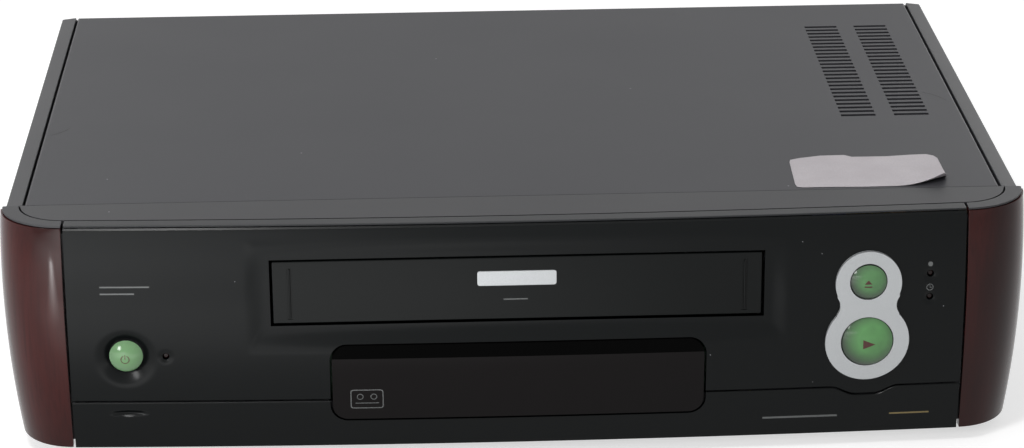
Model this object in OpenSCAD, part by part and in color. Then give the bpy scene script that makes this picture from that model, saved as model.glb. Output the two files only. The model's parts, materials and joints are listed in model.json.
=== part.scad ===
/* [Case] */
// Overall width across the two corner cheeks
case_w = 439.4; // [438.6:0.2:440.6]
// Height of the top surface above the floor
case_h = 108; // [107:0.5:110]
// Overall depth, from the crown of the play button to the tip of the aerial sockets
case_d = 310; // [308:1:314]
// Height of the feet
foot_h = 7; // [6:0.5:8]
// Radius of the rounded corner cheek where it is fullest
corner_r = 29.9; // [29:0.1:30.5]
// Depth of the corner cheek, from the crown of the play button to the cover's front edge
corner_d = 36; // [36:0.5:37]
// Length of the sheet metal cover
cover_d = 265.6; // [264:0.2:266]
// Thickness of the sheet metal cover
sheet_t = 0.8; // [0.7:0.1:1]
// Width of the flat rail along each side of the cover
rail_w = 6.9; // [6.5:0.1:7.2]
// Gap between the cover and each rail
rail_gap = 0.8; // [0.5:0.1:1]
// How far the cheek stands proud of the rail
cheek_proud = 3.7; // [3.5:0.1:3.9]

/* [Front] */
// How far the middle of the front bows out beyond its ends
face_bulge = 4.5; // [4:0.1:5]
// Radius of the front's upright curve
barrel_r = 400; // [380:5:420]
// Height at which the front stands furthest forward
barrel_z = 65; // [62:1:68]
// Half the distance between the two seams beside the cheeks
seam_x = 190.2; // [189.8:0.1:190.6]
// Width of each upright seam
seam_gap = 1; // [0.8:0.1:1.2]
// Wall of the front fascia
skin_t = 2.5; // [2.2:0.1:2.8]
// Width of the flat ledge along the top of the fascia
ledge_w = 7.3; // [7:0.1:7.5]
// Half the width of the cassette flap
door_x = 103.2; // [102.8:0.1:103.4]
// Bottom edge of the cassette flap above the floor
door_z0 = 63.8; // [63.6:0.1:64]
// Top edge of the cassette flap above the floor
door_z1 = 91.8; // [91.6:0.1:92]
// Thickness of the cassette flap
door_t = 2.5; // [2.4:0.1:2.6]
// Half the width of the display window
window_x = 79; // [78:0.5:80]
// Bottom edge of the display window above the floor
window_z0 = 19.9; // [19.5:0.1:20.5]
// Top edge of the display window above the floor
window_z1 = 55.1; // [54.5:0.1:55.5]
// Height of the seam above the control flap
flap_seam_z = 28.8; // [28.6:0.1:29]
// Play button and its bezel, distance from the middle
play_x = 148.8; // [148.5:0.1:149.1]
// Play button, height above the floor
play_z = 50.7; // [50.5:0.1:50.9]
// Eject button, height above the floor
eject_z = 77.3; // [77:0.1:77.6]
// Radius of the play button
play_r = 11.3; // [11:0.1:11.4]
// Radius of the eject button
eject_r = 7.9; // [7.6:0.1:8]
// Radius of the standby button
standby_r = 7.3; // [7:0.1:7.5]
// How far the round buttons travel
button_travel = 1.5; // [1:0.1:1.5]

/* [Tape deck] */
// Distance between the two reel spindles
reel_pitch = 92; // [92:0.1:92.2]
// Radius of the head drum
drum_r = 31; // [30.9:0.1:31]
// Lean of the head drum in degrees
drum_tilt = 6; // [5.5:0.1:6]
// How far the cassette basket moves back
basket_back = 45; // [44:0.5:45]
// How far the cassette basket drops
basket_drop = 27; // [26.5:0.1:27]
// Radius of the capstan shaft
capstan_r = 2; // [1.9:0.1:2]
// Running clearance round every shaft
run_gap = 0.05; // [0.03:0.01:0.08]

/* [Hidden] */
$fn = 48;

// Case levels and edges
corner_x = case_w / 2 - corner_r;
corner_y = -case_d / 2 + corner_d;
rail_out = case_w / 2 - cheek_proud;
rail_in = rail_out - rail_w;
cover_x = rail_in - rail_gap;
cover_y0 = corner_y + 0.15;
cover_y1 = corner_y + cover_d;
floor_z = foot_h;
shelf_z = case_h - 2;
band_in = corner_r - 9;
band_out = band_in + ledge_w;
edge_x = seam_x - seam_gap / 2;
face_y = corner_y - corner_r - face_bulge;
plan_r = (corner_x * corner_x + face_bulge * face_bulge) / (2 * face_bulge);
far = 60;

// Side panels, which tuck in at the bottom as the cheeks do
panel_wall = 2.5;
tuck_z = 27;
tuck_in = 2.6;
rib_y = [corner_y + 40, corner_y + 130, corner_y + 220];

// Vents and folds of the cover
vent_x = [153, 177.3];
vent_len = 15.9;
vent_half = 1.3;
vent_pitch = 5.3;
vent_count = 26;
vent_y = corner_y + 95.4;
fold_h = 14;
lip_h = 12;

// Levels of the tape deck
deck_z0 = 27;
deck_z1 = 28.2;
wheel_z0 = 30;
wheel_z1 = 33;
reel_y = -82;
drum_pos = [-5, 22, 32];
capstan_pos = [62, -16];
pulley_pos = [0, -58];
belt_z0 = 12;
belt_z1 = 14.5;
capstan_pulley_r = 7;
centre_pulley_r = 18;
centre_wheel_r = 8;
idler_r = 11;
idler_reach = centre_wheel_r + idler_r + 0.1;
reel_rim_r = 26;
arm_pivot_x = 15;
arm_pivot_y = 0.7;
arm_reach = 37.3;
arm_rest_deg = 80.7;
arm_swing_deg = 132;
carriage_x = 99.8;
basket_x = 95.4;
slider_x = 96.2;
plate_t = 1.2;
track_y = [-112, -76];
track_z = 90;
lift_y = [-108, -80];
lift_z = 77;
arm_z0 = 23.5;
arm_z1 = 25.5;
cam_pos = [-86, 30];
cam_teeth = 40;
pinion_teeth = 10;
gear_module = 1;
gear_gap = gear_module * (cam_teeth + pinion_teeth) / 2;
pinch_pivot = [84, 4];
pinch_reach = 25.8;
pinch_rest_deg = 167.8;
pinch_r = 8;

// Levels behind the front
cut_y0 = -170;
cut_y1 = -130;
frame_x = 187.4;
frame_y0 = -141;
frame_y1 = -139;
wing_x = 184;
wall_x = 124;
bay_x = 81;
bay_z = floor_z + 2;
base_y0 = -128;
board_y0 = -132;
board_y1 = -130.4;
switch_y = -135.4;
key_z = 20;
key_x = [-162, -144, -126, -108];
key_w = 14;
key_h = 6;
key_stem = [4, 2];
rocker_stem = [6.5, 2];
rocker_x = 172;
rocker_y = -140;
socket_x = [100, 114, 128];
phono_r = 4.15;
phono_pin_r = 1.6;
phono_colors = ["#c9a227", "#d8d8d8", "#a02020"];
flap_axis_y = -141.5;
flap_axis_z = 10.2;
hinge_x0 = 168.5;
hinge_x1 = 171.8;
hinge_tip = 176.4;
door_y = -149.2;
door_axis_y = door_y + door_t / 2;
door_axis_z = door_z1 - door_t / 2;
well_y = door_y - 0.4;
well_mouth = [116, 53, 101];
well_floor = [105, 62.6, 93.2];
standby_x = -165.3;
standby_z = 51.2;
stem_r = 3;
lens_r = 1.4;
lens_y = [-149.4, -148.6, -149.1];
lamp_pos = [[-149, 50.9], [174.9, 80.1], [174.9, 69.8]];
bezel_proud = 1.7;
bezel_low_r = 18.3;
bezel_top_r = 14.4;
neck_r = 6.5;
neck_x = 18.5;
neck_z = 16.5;
bulge_r = 24.6;
flap_clear = 0.8;
window_round = 6.5;
grip_x = -166.2;
grip_y = -147.2;
grip_z = 24.4;
grip_r = 28;

// Crown, rise and flange of each round button
standby_dome = [-152.6, 2.8, -146.3];
eject_dome = [-154.2, 2.4, -147];
play_dome = [-case_d / 2, 3.4, -146.2];

// Rear sockets
rear_y0 = 143.6;
rear_y1 = 145.4;
scart_x = [-98, -40];
scart_z = 40;
aerial_x = [-188, -164];
aerial_z = 38;
audio_x = [20, 36, 52];
audio_z = 38;
board_z = 13;
board_top = 14.6;
inlet_x = 176;
inlet_z = 30;

// Screws, feet and the posts under the boards
screw_x = [-150, 0, 150];
screw_z = case_h - 7;
foot_x = 170;
foot_y = [-108, 116];
foot_r = 12;
foot_recess_r = 3;
deck_post_x = 102;
deck_post_y = [-118, 68];
board_posts = [
    [-198, -106], [-118, -106], [-198, 0], [-118, 0], [-198, 135], [-50, 135], [60, 135],
    [122, -12], [122, 135], [198, -12], [198, 135]
];

// Parts on the boards: chips by place and length, coils by place, cans by place, radius and top
chips = [[-170, -60, 20], [-150, 20, 16], [-60, 105, 22], [30, 110, 18], [-180, -100, 12]];
coils = [[-130, -40], [-130, -20], [-190, 40], [0, 120], [80, 100]];
cans = [[150, 5, 11, 50], [178, 8, 8, 42], [140, 100, 6, 38], [156, 104, 6, 38], [172, 96, 5, 32]];

// Helpers
module slab(x0, x1, y0, y1, z0, z1) {
    translate([x0, y0, z0]) cube([x1 - x0, y1 - y0, z1 - z0]);
}

module post(x, y, r, z0, z1) {
    translate([x, y, z0]) cylinder(r = r, h = z1 - z0);
}

module rod_x(y, z, r, x0, x1) {
    translate([x0, y, z]) rotate([0, 90, 0]) cylinder(r = r, h = x1 - x0);
}

module rod_y(x, z, r, y0, y1) {
    translate([x, y1, z]) rotate([90, 0, 0]) cylinder(r = r, h = y1 - y0);
}

// Pushes an outline drawn in x and z from y0 to y1
module along_y(y0, y1) {
    translate([0, y1, 0]) rotate([90, 0, 0]) linear_extrude(height = y1 - y0) children();
}

module both_sides() {
    children();
    mirror([1, 0, 0]) children();
}

module round_box(x0, x1, z0, z1, r) {
    translate([x0 + r, z0]) square([x1 - x0 - 2 * r, z1 - z0]);
    translate([x0, z0 + r]) square([x1 - x0, z1 - z0 - 2 * r]);
    for (x = [x0 + r, x1 - r], z = [z0 + r, z1 - r]) translate([x, z]) circle(r = r);
}

// How far the upright curve falls back at a height
function barrel(z) = (z - barrel_z) * (z - barrel_z) / (2 * barrel_r);

// Front edge in plan, a set distance outside the corner centre line
function plan_y(x, rho) =
    abs(x) <= corner_x
    ? corner_y - rho - face_bulge * (1 - x * x / (corner_x * corner_x))
    : corner_y - sqrt(rho * rho - (abs(x) - corner_x) * (abs(x) - corner_x));

// A curved wall that follows the front, between two offsets from its surface
module face_band(front, back, z0, z1) {
    steps = 10;
    rise = (z1 - z0) / steps;
    outer = [for (i = [0 : steps]) let (z = z0 + i * rise) [plan_r + front - barrel(z), z]];
    inner = [for (i = [steps : -1 : 0]) let (z = z0 + i * rise) [plan_r - back - barrel(z), z]];
    half_deg = asin((corner_x + 8) / plan_r);
    translate([0, face_y + plan_r, 0])
    rotate([0, 0, -90 - half_deg])
    rotate_extrude(angle = 2 * half_deg, $fn = 2000)
    polygon(concat(outer, inner));
}

// Keeps what lies inside an outline in x and z
module face_piece(front, back, z0, z1) {
    intersection() {
        face_band(front, back, z0, z1);
        along_y(face_y - far, face_y + far) children();
    }
}

module corner_sweep(side) {
    translate([side * corner_x, corner_y, 0])
    rotate([0, 0, side > 0 ? -90 : 180])
    rotate_extrude(angle = 90, $fn = 96)
    children();
}

// Spur gear outline with straight flanks and free play
module gear_outline(teeth) {
    pitch_r = gear_module * teeth / 2;
    root_r = pitch_r - 1.15 * gear_module;
    tip_r = pitch_r + 0.85 * gear_module;
    step = 360 / teeth;
    polygon([for (i = [0 : teeth - 1], p = [[-0.32, 0], [-0.12, 1], [0.12, 1], [0.32, 0]])
        let (a = (i + p[0]) * step, r = p[1] > 0 ? tip_r : root_r)
        [r * cos(a), r * sin(a)]]);
}

// Case

module vent_columns() {
    for (x = vent_x, i = [0 : vent_count - 1]) {
        y = vent_y + i * vent_pitch;
        slab(x, x + vent_len, y - vent_half, y + vent_half, case_h - 2, case_h + 1);
    }
}

module top_cover() {
    color("#4b4b50")
    difference() {
        union() {
            slab(-cover_x, cover_x, cover_y0, cover_y1, case_h - sheet_t, case_h);
            both_sides() slab(cover_x - sheet_t, cover_x, cover_y0 + 6, cover_y1, case_h - fold_h, case_h);
            slab(-cover_x, cover_x, cover_y1 - sheet_t, cover_y1, case_h - lip_h, case_h);
        }
        vent_columns();
        for (x = screw_x) rod_y(x, screw_z, 1.6, cover_y1 - 3, cover_y1 + 3);
    }
}

module brow_outline() {
    rho = band_in - 0.3;
    start = asin(0.15 / rho);
    turn = [for (i = [0 : 15]) start + (90 - start) * i / 15];
    right = [for (a = turn) [corner_x + rho * cos(a), corner_y - rho * sin(a)]];
    front = [for (i = [1 : 23]) let (x = corner_x * (1 - i / 12)) [x, plan_y(x, rho)]];
    left = [for (i = [15 : -1 : 0]) [-right[i][0], right[i][1]]];
    polygon(concat(right, front, left));
}

module stem_holes() {
    y0 = frame_y0 - 1;
    y1 = frame_y1 + 1;
    key_hole = [key_stem[0] + 0.3, key_stem[1] + 0.3];
    rocker_hole = [rocker_stem[0] + 1, rocker_stem[1] + 0.6];
    rod_y(play_x, play_z, stem_r + 0.1, y0, y1);
    rod_y(play_x, eject_z, stem_r + 0.1, y0, y1);
    rod_y(standby_x, standby_z, stem_r + 0.1, y0, y1);
    for (p = lamp_pos) rod_y(p[0], p[1], lens_r + 0.3, y0, y1);
    for (x = key_x)
        slab(x - key_hole[0], x + key_hole[0], y0, y1, key_z - key_hole[1], key_z + key_hole[1]);
    slab(rocker_x - rocker_hole[0], rocker_x + rocker_hole[0], y0, y1,
        key_z - rocker_hole[1], key_z + rocker_hole[1]);
    for (x = socket_x) rod_y(x, key_z, phono_r + 0.25, y0, y1);
}

module front_frame() {
    color("#46464a")
    difference() {
        union() {
            translate([0, 0, shelf_z - 0.2]) linear_extrude(height = 2.2) brow_outline();
            slab(-204, 204, corner_y - 2, corner_y + 6, shelf_z - 1.2, case_h - sheet_t - 0.1);
            both_sides() slab(wing_x, frame_x, -138, -113, floor_z + 2.2, shelf_z);
            both_sides() slab(wing_x, seam_x + seam_gap / 2, -142, -137, floor_z + 2.2, shelf_z - 2.2);
            both_sides() slab(wall_x, frame_x, frame_y0, frame_y1, flap_seam_z + 1.6, shelf_z - 2.2);
            slab(-wall_x - 1, wall_x + 1, frame_y0, frame_y1, door_z1 + 2.2, shelf_z);
            slab(-wall_x - 1, wall_x + 1, frame_y0, frame_y1, window_z1 + 1.4, window_z1 + 4.4);
            both_sides() slab(bay_x, frame_x, frame_y0, frame_y1, bay_z, flap_seam_z + 2);
            slab(-bay_x - 1, bay_x + 1, frame_y0, frame_y1, bay_z, bay_z + 15);
            slab(-frame_x, frame_x, frame_y0, base_y0, bay_z, bay_z + 1.4);
            slab(-frame_x, frame_x, -138, base_y0, floor_z + 0.2, floor_z + 2.2);
            both_sides() slab(bay_x, frame_x, -144.6, frame_y0 + 0.5, flap_seam_z + 1.6, flap_seam_z + 2.8);
            both_sides() rod_y(112, 99, 3, -144.5, frame_y0 + 0.5);
            both_sides() rod_y(130, 88, 2.5, frame_y1 - 0.5, board_y0);
            both_sides() rod_y(179, 34, 2.5, frame_y1 - 0.5, board_y0);
            both_sides() rod_x(flap_axis_y, flap_axis_z, 2, hinge_x1 + 0.4, hinge_tip + 0.2);
        }
        stem_holes();
        both_sides() slab(hinge_x0 - 0.7, hinge_x1 + 0.3, -145, -137.5, floor_z - 1, floor_z + 7);
        both_sides() rod_x(flap_axis_y, flap_axis_z, 1.2 + run_gap, hinge_x1 - 0.8, hinge_tip + 1.1);
        post(rocker_x, rocker_y, 0.7 + run_gap, key_z - 4, key_z + 4);
    }
}

module ledge_profile_band(rho0, rho1, z0, z1) {
    steps = 24;
    x0 = edge_x;
    near = [for (i = [0 : steps]) let (x = -x0 + 2 * x0 * i / steps) [x, plan_y(x, rho0)]];
    out = [for (i = [steps : -1 : 0]) let (x = -x0 + 2 * x0 * i / steps) [x, plan_y(x, rho1)]];
    translate([0, 0, z0]) linear_extrude(height = z1 - z0) polygon(concat(near, out));
}

module ledge_strip() {
    color("#505256") {
        ledge_profile_band(band_in, band_out - 0.5, case_h - 0.4, case_h);
        ledge_profile_band(band_in, band_out, case_h - 1.3, case_h - 0.4);
        ledge_profile_band(band_in + 1.1, band_out - 1.7, shelf_z, case_h - 1.3);
    }
}

module cap_half(side) {
    intersection() {
        corner_sweep(side)
        polygon([
            [band_in, case_h], [band_out - 0.8, case_h], [band_out - 0.2, case_h - 0.3],
            [band_out, case_h - 0.8], [band_out, case_h - 1.3], [band_out - 1.7, case_h - 1.3],
            [band_out - 1.7, shelf_z], [band_in + 1.1, shelf_z], [band_in + 1.1, case_h - 1.3],
            [band_in, case_h - 1.3]
        ]);
        if (side > 0) slab(seam_x + seam_gap / 2, case_w, corner_y - far, corner_y - 0.15, 0, case_h + 1);
        if (side < 0) slab(-case_w, -seam_x - seam_gap / 2, corner_y - far, corner_y - 0.15, 0, case_h + 1);
    }
}

module corner_caps() {
    color("#46464a") {
        cap_half(1);
        cap_half(-1);
    }
}

module cheek(side) {
    wall = 4.6;
    z0 = floor_z;
    outer = [for (i = [0 : 12])
        let (z = z0 + 1.2 + (shelf_z - z0 - 1.2) * i / 12) [corner_r - barrel(z), z]];
    inner = [for (i = [12 : -1 : 0])
        let (z = z0 + 2 + (shelf_z - z0 - 4) * i / 12) [corner_r - wall - barrel(z), z]];
    foot = [[band_in - 5, z0 + 2], [band_in - 5, z0], [corner_r - barrel(z0) - 1.2, z0]];
    head = [[band_in + 0.3, shelf_z], [band_in + 0.3, shelf_z - 2]];
    seam = seam_x + seam_gap / 2;
    intersection() {
        union() {
            corner_sweep(side) polygon(concat(outer, head, inner, foot));
            intersection() {
                corner_sweep(side) polygon(concat(outer, head, [[band_in + 0.3, z0]]));
                if (side > 0) slab(seam, seam + 2, corner_y - far, corner_y, 0, case_h);
                if (side < 0) slab(-seam - 2, -seam, corner_y - far, corner_y, 0, case_h);
            }
        }
        if (side > 0) slab(seam, case_w, corner_y - far, corner_y - 0.15, 0, case_h);
        if (side < 0) slab(-case_w, -seam, corner_y - far, corner_y - 0.15, 0, case_h);
    }
}

module left_cheek() {
    color("#4a1f20") cheek(-1);
}

module right_cheek() {
    color("#4a1f20") cheek(1);
}

// Upright web across a side panel, its outer edge buried in the wall
module panel_web(y, inner_x, top_z) {
    outer_x = rail_out - 1;
    along_y(y, y + panel_wall)
    polygon([
        [inner_x, floor_z], [outer_x - tuck_in, floor_z], [outer_x, tuck_z],
        [outer_x, top_z], [inner_x, top_z]
    ]);
}

module side_panel() {
    wall_in = rail_out - panel_wall;
    along_y(cover_y0, cover_y1)
    polygon([
        [rail_out, case_h], [rail_out, tuck_z], [rail_out - tuck_in, floor_z],
        [wall_in - tuck_in, floor_z], [wall_in, tuck_z], [wall_in, case_h]
    ]);
    slab(rail_in, rail_out - 1, cover_y0, cover_y1, case_h - panel_wall, case_h);
    slab(rail_in, rail_out - tuck_in - 1, cover_y0, cover_y1, floor_z, floor_z + panel_wall);
    for (y = rib_y) panel_web(y, rail_in, case_h);
    panel_web(cover_y1 - panel_wall, cover_x + 0.15, case_h - 1);
}

module left_side_panel() {
    color("#46464a") mirror([1, 0, 0]) side_panel();
}

module right_side_panel() {
    color("#46464a") side_panel();
}

// Figure eight outline of the button surround, grown by a margin
module bezel_outline(grow) {
    drop = eject_z - play_z;
    difference() {
        union() {
            translate([play_x, play_z]) circle(r = bezel_low_r + grow);
            translate([play_x, eject_z]) circle(r = bezel_top_r + grow);
            translate([play_x, play_z])
            polygon([[-13.65, 12.2], [13.65, 12.2], [12.75, drop - 6.7], [-12.75, drop - 6.7]]);
        }
        for (s = [-1, 1]) translate([play_x + s * neck_x, play_z + neck_z]) circle(r = neck_r - grow);
    }
}

module well_cut() {
    hull() {
        slab(-well_mouth[0], well_mouth[0], face_y - 4, face_y - 3.9, well_mouth[1], well_mouth[2]);
        slab(-well_floor[0], well_floor[0], well_y, well_y + 0.1, well_floor[1], well_floor[2]);
    }
}

module front_fascia() {
    gap = 0.35;
    color("#1d1f1f")
    difference() {
        union() {
            face_piece(0, skin_t, flap_seam_z - 4, shelf_z) {
                union() {
                    translate([-edge_x, flap_seam_z + 0.4])
                    square([2 * edge_x, shelf_z - flap_seam_z - 0.4]);
                    intersection() {
                        translate([play_x, play_z]) circle(r = bulge_r);
                        translate([play_x - 30, flap_seam_z - 4]) square([60, 20]);
                    }
                }
            }
            face_piece(-skin_t + 0.5, 12, 50.5, 103) {
                translate([-118, 50.5]) square([236, 52.5]);
            }
            ledge_profile_band(band_in + 0.3, band_out - 1.2, shelf_z - 2, shelf_z);
        }
        slab(-200, 200, -144.5, -120, 40, shelf_z - 3);
        well_cut();
        slab(-door_x - 0.7, door_x + 0.7, cut_y0, cut_y1, door_z0 - 0.7, door_z1 + 0.8);
        both_sides() rod_x(door_axis_y, door_axis_z, 1 + run_gap, door_x - 1, door_x + 4);
        along_y(cut_y0, cut_y1)
        round_box(-window_x - gap, window_x + gap, window_z0 - gap, window_z1 + gap, window_round + gap);
        intersection() {
            face_band(5, 0.8, 26, 100);
            along_y(cut_y0, cut_y1) bezel_outline(0.15);
        }
        rod_y(play_x, play_z, play_r + 0.25, cut_y0, cut_y1);
        rod_y(play_x, eject_z, eject_r + 0.25, cut_y0, cut_y1);
        rod_y(standby_x, standby_z, standby_r + 0.3, cut_y0, cut_y1);
        for (p = lamp_pos) rod_y(p[0], p[1], 1.5, cut_y0, cut_y1);
    }
}

// Flap and window

module cassette_flap() {
    color("#202222") {
        slab(-door_x, door_x, door_y, door_y + door_t, door_z0, door_axis_z);
        rod_x(door_axis_y, door_axis_z, door_t / 2, -door_x, door_x);
        rod_x(door_axis_y, door_axis_z, 1, -door_x - 3, door_x + 3);
        both_sides() slab(95.5, 96.3, door_y - 0.4, door_y + 1, 66.2, 88.4);
    }
}

module display_window() {
    color("#0b0b0d") {
        face_piece(0.8, 2.2, window_z0 - 1, window_z1 + 1) {
            round_box(-window_x, window_x, window_z0, window_z1, window_round);
        }
        both_sides() rod_y(68, 23, 1.8, -151.6, frame_y0);
    }
}

module control_flap() {
    clear = flap_clear;
    color("#1f2121") {
        difference() {
            face_piece(0, 2, floor_z, flap_seam_z - 0.4) {
                translate([-edge_x + 0.4, floor_z]) square([2 * edge_x - 0.8, flap_seam_z - 0.4 - floor_z]);
            }
            along_y(cut_y0, cut_y1)
            round_box(-window_x - clear, window_x + clear, window_z0 - clear, 50, window_round + clear);
            rod_y(play_x, play_z, bulge_r + clear, cut_y0, cut_y1);
            post(grip_x, grip_y - grip_r, grip_r, grip_z, flap_seam_z + 1);
        }
        both_sides() {
            slab(hinge_x0, hinge_x1, -145, flap_axis_y, flap_axis_z - 1.6, flap_axis_z + 1.6);
            rod_x(flap_axis_y, flap_axis_z, 1.6, hinge_x0, hinge_x1);
            rod_x(flap_axis_y, flap_axis_z, 1.2, hinge_x1 - 0.8, hinge_tip);
        }
    }
}

// Buttons, keys and lamps

module button_bezel() {
    color("#b9bbbf")
    difference() {
        face_piece(bezel_proud, 0.7, 28, 98) bezel_outline(0);
        rod_y(play_x, play_z, play_r + 0.25, cut_y0, cut_y1);
        rod_y(play_x, eject_z, eject_r + 0.25, cut_y0, cut_y1);
    }
}

module dome_button(x, z, r, dome) {
    crown_y = dome[0];
    rise = dome[1];
    flange_y = dome[2];
    ball_r = (r * r + rise * rise) / (2 * rise);
    intersection() {
        rod_y(x, z, r, crown_y - 1, flange_y + 1);
        translate([x, crown_y + ball_r, z]) sphere(r = ball_r, $fn = 96);
    }
    rod_y(x, z, r + 1.2, flange_y, flange_y + 1);
    rod_y(x, z, stem_r, flange_y, switch_y - button_travel - 0.3);
}

module standby_button() {
    color("#7fc48a") dome_button(standby_x, standby_z, standby_r, standby_dome);
}

module eject_button() {
    color("#7fae86") dome_button(play_x, eject_z, eject_r, eject_dome);
}

module play_button() {
    color("#8fce94") dome_button(play_x, play_z, play_r, play_dome);
}

module indicator_lenses() {
    color("#7a1a1a")
    for (i = [0 : 2]) rod_y(lamp_pos[i][0], lamp_pos[i][1], lens_r, lens_y[i], board_y0 - 2);
}

module key(x) {
    slab(x - key_w / 2, x + key_w / 2, -144.2, -142.8, key_z - key_h / 2, key_z + key_h / 2);
    slab(x - key_stem[0], x + key_stem[0], -143, -137.2, key_z - key_stem[1], key_z + key_stem[1]);
    slab(x - 6, x + 6, frame_y1 + 0.1, -137.9, key_z - 2.6, key_z + 2.6);
}

module rewind_key() {
    color("#2b2d2f") key(key_x[0]);
}

module stop_key() {
    color("#2b2d2f") key(key_x[1]);
}

module forward_key() {
    color("#2b2d2f") key(key_x[2]);
}

module record_key() {
    color("#7d1f1f") key(key_x[3]);
}

module channel_rocker() {
    color("#2b2d2f") {
        slab(rocker_x - 9, rocker_x + 9, -143.6, -142.2, key_z - 3, key_z + 3);
        slab(rocker_x - rocker_stem[0], rocker_x + rocker_stem[0], -143, -137.6,
            key_z - rocker_stem[1], key_z + rocker_stem[1]);
        post(rocker_x, rocker_y, 0.7, key_z - 3.7, key_z + 3.7);
    }
}

module front_av_sockets() {
    for (i = [0 : 2])
        color(phono_colors[i])
        difference() {
            union() {
                rod_y(socket_x[i], key_z, phono_r, -143.4, -133);
                slab(socket_x[i] - 6, socket_x[i] + 6, frame_y1 + 0.1, board_y0, key_z - 6, key_z + 6);
            }
            rod_y(socket_x[i], key_z, phono_pin_r, -145, -135);
        }
}

module front_board() {
    color("#2c5a34") {
        along_y(board_y0, board_y1)
        polygon([
            [-183.5, 13], [183.5, 13], [183.5, 94], [126, 94],
            [126, 60], [-126, 60], [-126, 94], [-183.5, 94]
        ]);
        for (x = key_x) slab(x - 3, x + 3, switch_y, board_y0 + 0.5, key_z - 3, key_z + 3);
        for (x = [rocker_x - 5, rocker_x + 5])
            slab(x - 2.2, x + 2.2, switch_y, board_y0 + 0.5, key_z - 3, key_z + 3);
        for (p = [[play_x, play_z], [play_x, eject_z], [standby_x, standby_z]])
            slab(p[0] - stem_r, p[0] + stem_r, switch_y, board_y0 + 0.5, p[1] - stem_r, p[1] + stem_r);
    }
}

module display_tube() {
    color("#16211f") {
        slab(-56, 56, -143, -135.5, 26, 50);
        for (x = [-50 : 10 : 50]) slab(x - 0.3, x + 0.3, -136, board_y0, 27, 27.6);
    }
}

// Base, rear and boards

module chassis_base() {
    color("#8f9296")
    union() {
        slab(-rail_in, rail_in, cover_y0, rear_y0, floor_z, floor_z + 1.2);
        slab(-185, 185, base_y0, cover_y0 + 1, floor_z, floor_z + 1.2);
        both_sides() slab(cover_x - 1.9, cover_x - 0.9, -112, rear_y0, floor_z, case_h - sheet_t - 0.1);
        for (x = [-deck_post_x, deck_post_x], y = deck_post_y) post(x, y, 4, floor_z + 1, deck_z0);
        for (p = board_posts) post(p[0], p[1], 3, floor_z + 1, board_z);
    }
}

module rear_panel() {
    color("#2a2a2c")
    difference() {
        slab(-cover_x + 0.9, cover_x - 0.9, rear_y0, rear_y1, floor_z, case_h - sheet_t - 0.1);
        for (x = scart_x) slab(x - 25.5, x + 25.5, 140, 150, scart_z - 8.5, scart_z + 8.5);
        for (x = aerial_x) rod_y(x, aerial_z, 7, 140, 150);
        for (x = audio_x) rod_y(x, audio_z, 5.2, 140, 150);
        slab(inlet_x - 12, inlet_x + 12, 140, 150, inlet_z - 8, inlet_z + 8);
        for (x = screw_x) rod_y(x, screw_z, 1.25, rear_y0 - 3, rear_y1 + 5);
        for (x = [90 : 6 : 150], z = [60, 82]) slab(x - 1.5, x + 1.5, 140, 150, z - 9, z + 9);
    }
}

module feet() {
    color("#1a1a1a")
    for (x = [-foot_x, foot_x], y = foot_y)
        difference() {
            post(x, y, foot_r, 0, floor_z);
            post(x, y, foot_recess_r, -1, 3);
        }
}

module cover_screws() {
    color("#77797c")
    for (x = screw_x) {
        rod_y(x, screw_z, 1.2, rear_y0 - 2, cover_y1 + 0.5);
        difference() {
            rod_y(x, screw_z, 3, cover_y1, cover_y1 + 2);
            slab(x - 1.8, x + 1.8, cover_y1 + 1.1, cover_y1 + 3, screw_z - 0.4, screw_z + 0.4);
            slab(x - 0.4, x + 0.4, cover_y1 + 1.1, cover_y1 + 3, screw_z - 1.8, screw_z + 1.8);
        }
    }
}

module scart_sockets() {
    color("#1c1c1e")
    for (x = scart_x)
        difference() {
            union() {
                slab(x - 25, x + 25, 128, rear_y1 + 1.2, scart_z - 8, scart_z + 8);
                slab(x - 22, x + 22, 128, 140, board_top, scart_z - 7);
            }
            slab(x - 23, x + 23, 133, rear_y1 + 3, scart_z - 5.6, scart_z + 5.6);
        }
    color("#1c1c1e")
    for (x = scart_x) slab(x - 20, x + 20, 132, rear_y1 - 1, scart_z - 1.2, scart_z + 1.2);
}

module aerial_sockets() {
    color("#c3c6ca")
    for (x = aerial_x)
        difference() {
            union() {
                rod_y(x, aerial_z, 6.5, 134.8, rear_y1 + 1);
                rod_y(x, aerial_z, 4.75, rear_y1, case_d / 2);
            }
            rod_y(x, aerial_z, x < -170 ? 4.1 : 1.3, rear_y1 + 0.5, case_d / 2 + 1);
        }
    color("#c3c6ca") rod_y(aerial_x[0], aerial_z, 1.15, rear_y1, case_d / 2 - 1);
}

module audio_sockets() {
    for (i = [0 : 2])
        color(phono_colors[i])
        difference() {
            union() {
                rod_y(audio_x[i], audio_z, 5, 133, rear_y1 + 1.2);
                slab(audio_x[i] - 6, audio_x[i] + 6, 124, 138, board_top, audio_z + 6);
                rod_y(audio_x[i], audio_z, phono_r, rear_y1, rear_y1 + 8.5);
            }
            rod_y(audio_x[i], audio_z, phono_pin_r, rear_y1 - 3, rear_y1 + 10);
        }
}

module mains_inlet() {
    color("#161618") {
        difference() {
            union() {
                slab(inlet_x - 11.7, inlet_x + 11.7, 126, rear_y1 + 1, inlet_z - 7.7, inlet_z + 7.7);
                slab(inlet_x - 9, inlet_x + 9, 126, 134, board_top, inlet_z - 7);
            }
            for (s = [-1, 1]) rod_y(inlet_x + s * 4.3, inlet_z, 4.4, 132, rear_y1 + 3);
            slab(inlet_x - 4.3, inlet_x + 4.3, 132, rear_y1 + 3, inlet_z - 3.4, inlet_z + 3.4);
        }
        for (s = [-1, 1]) rod_y(inlet_x + s * 4.3, inlet_z, 1.2, 131, rear_y1 - 2);
    }
}

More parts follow.
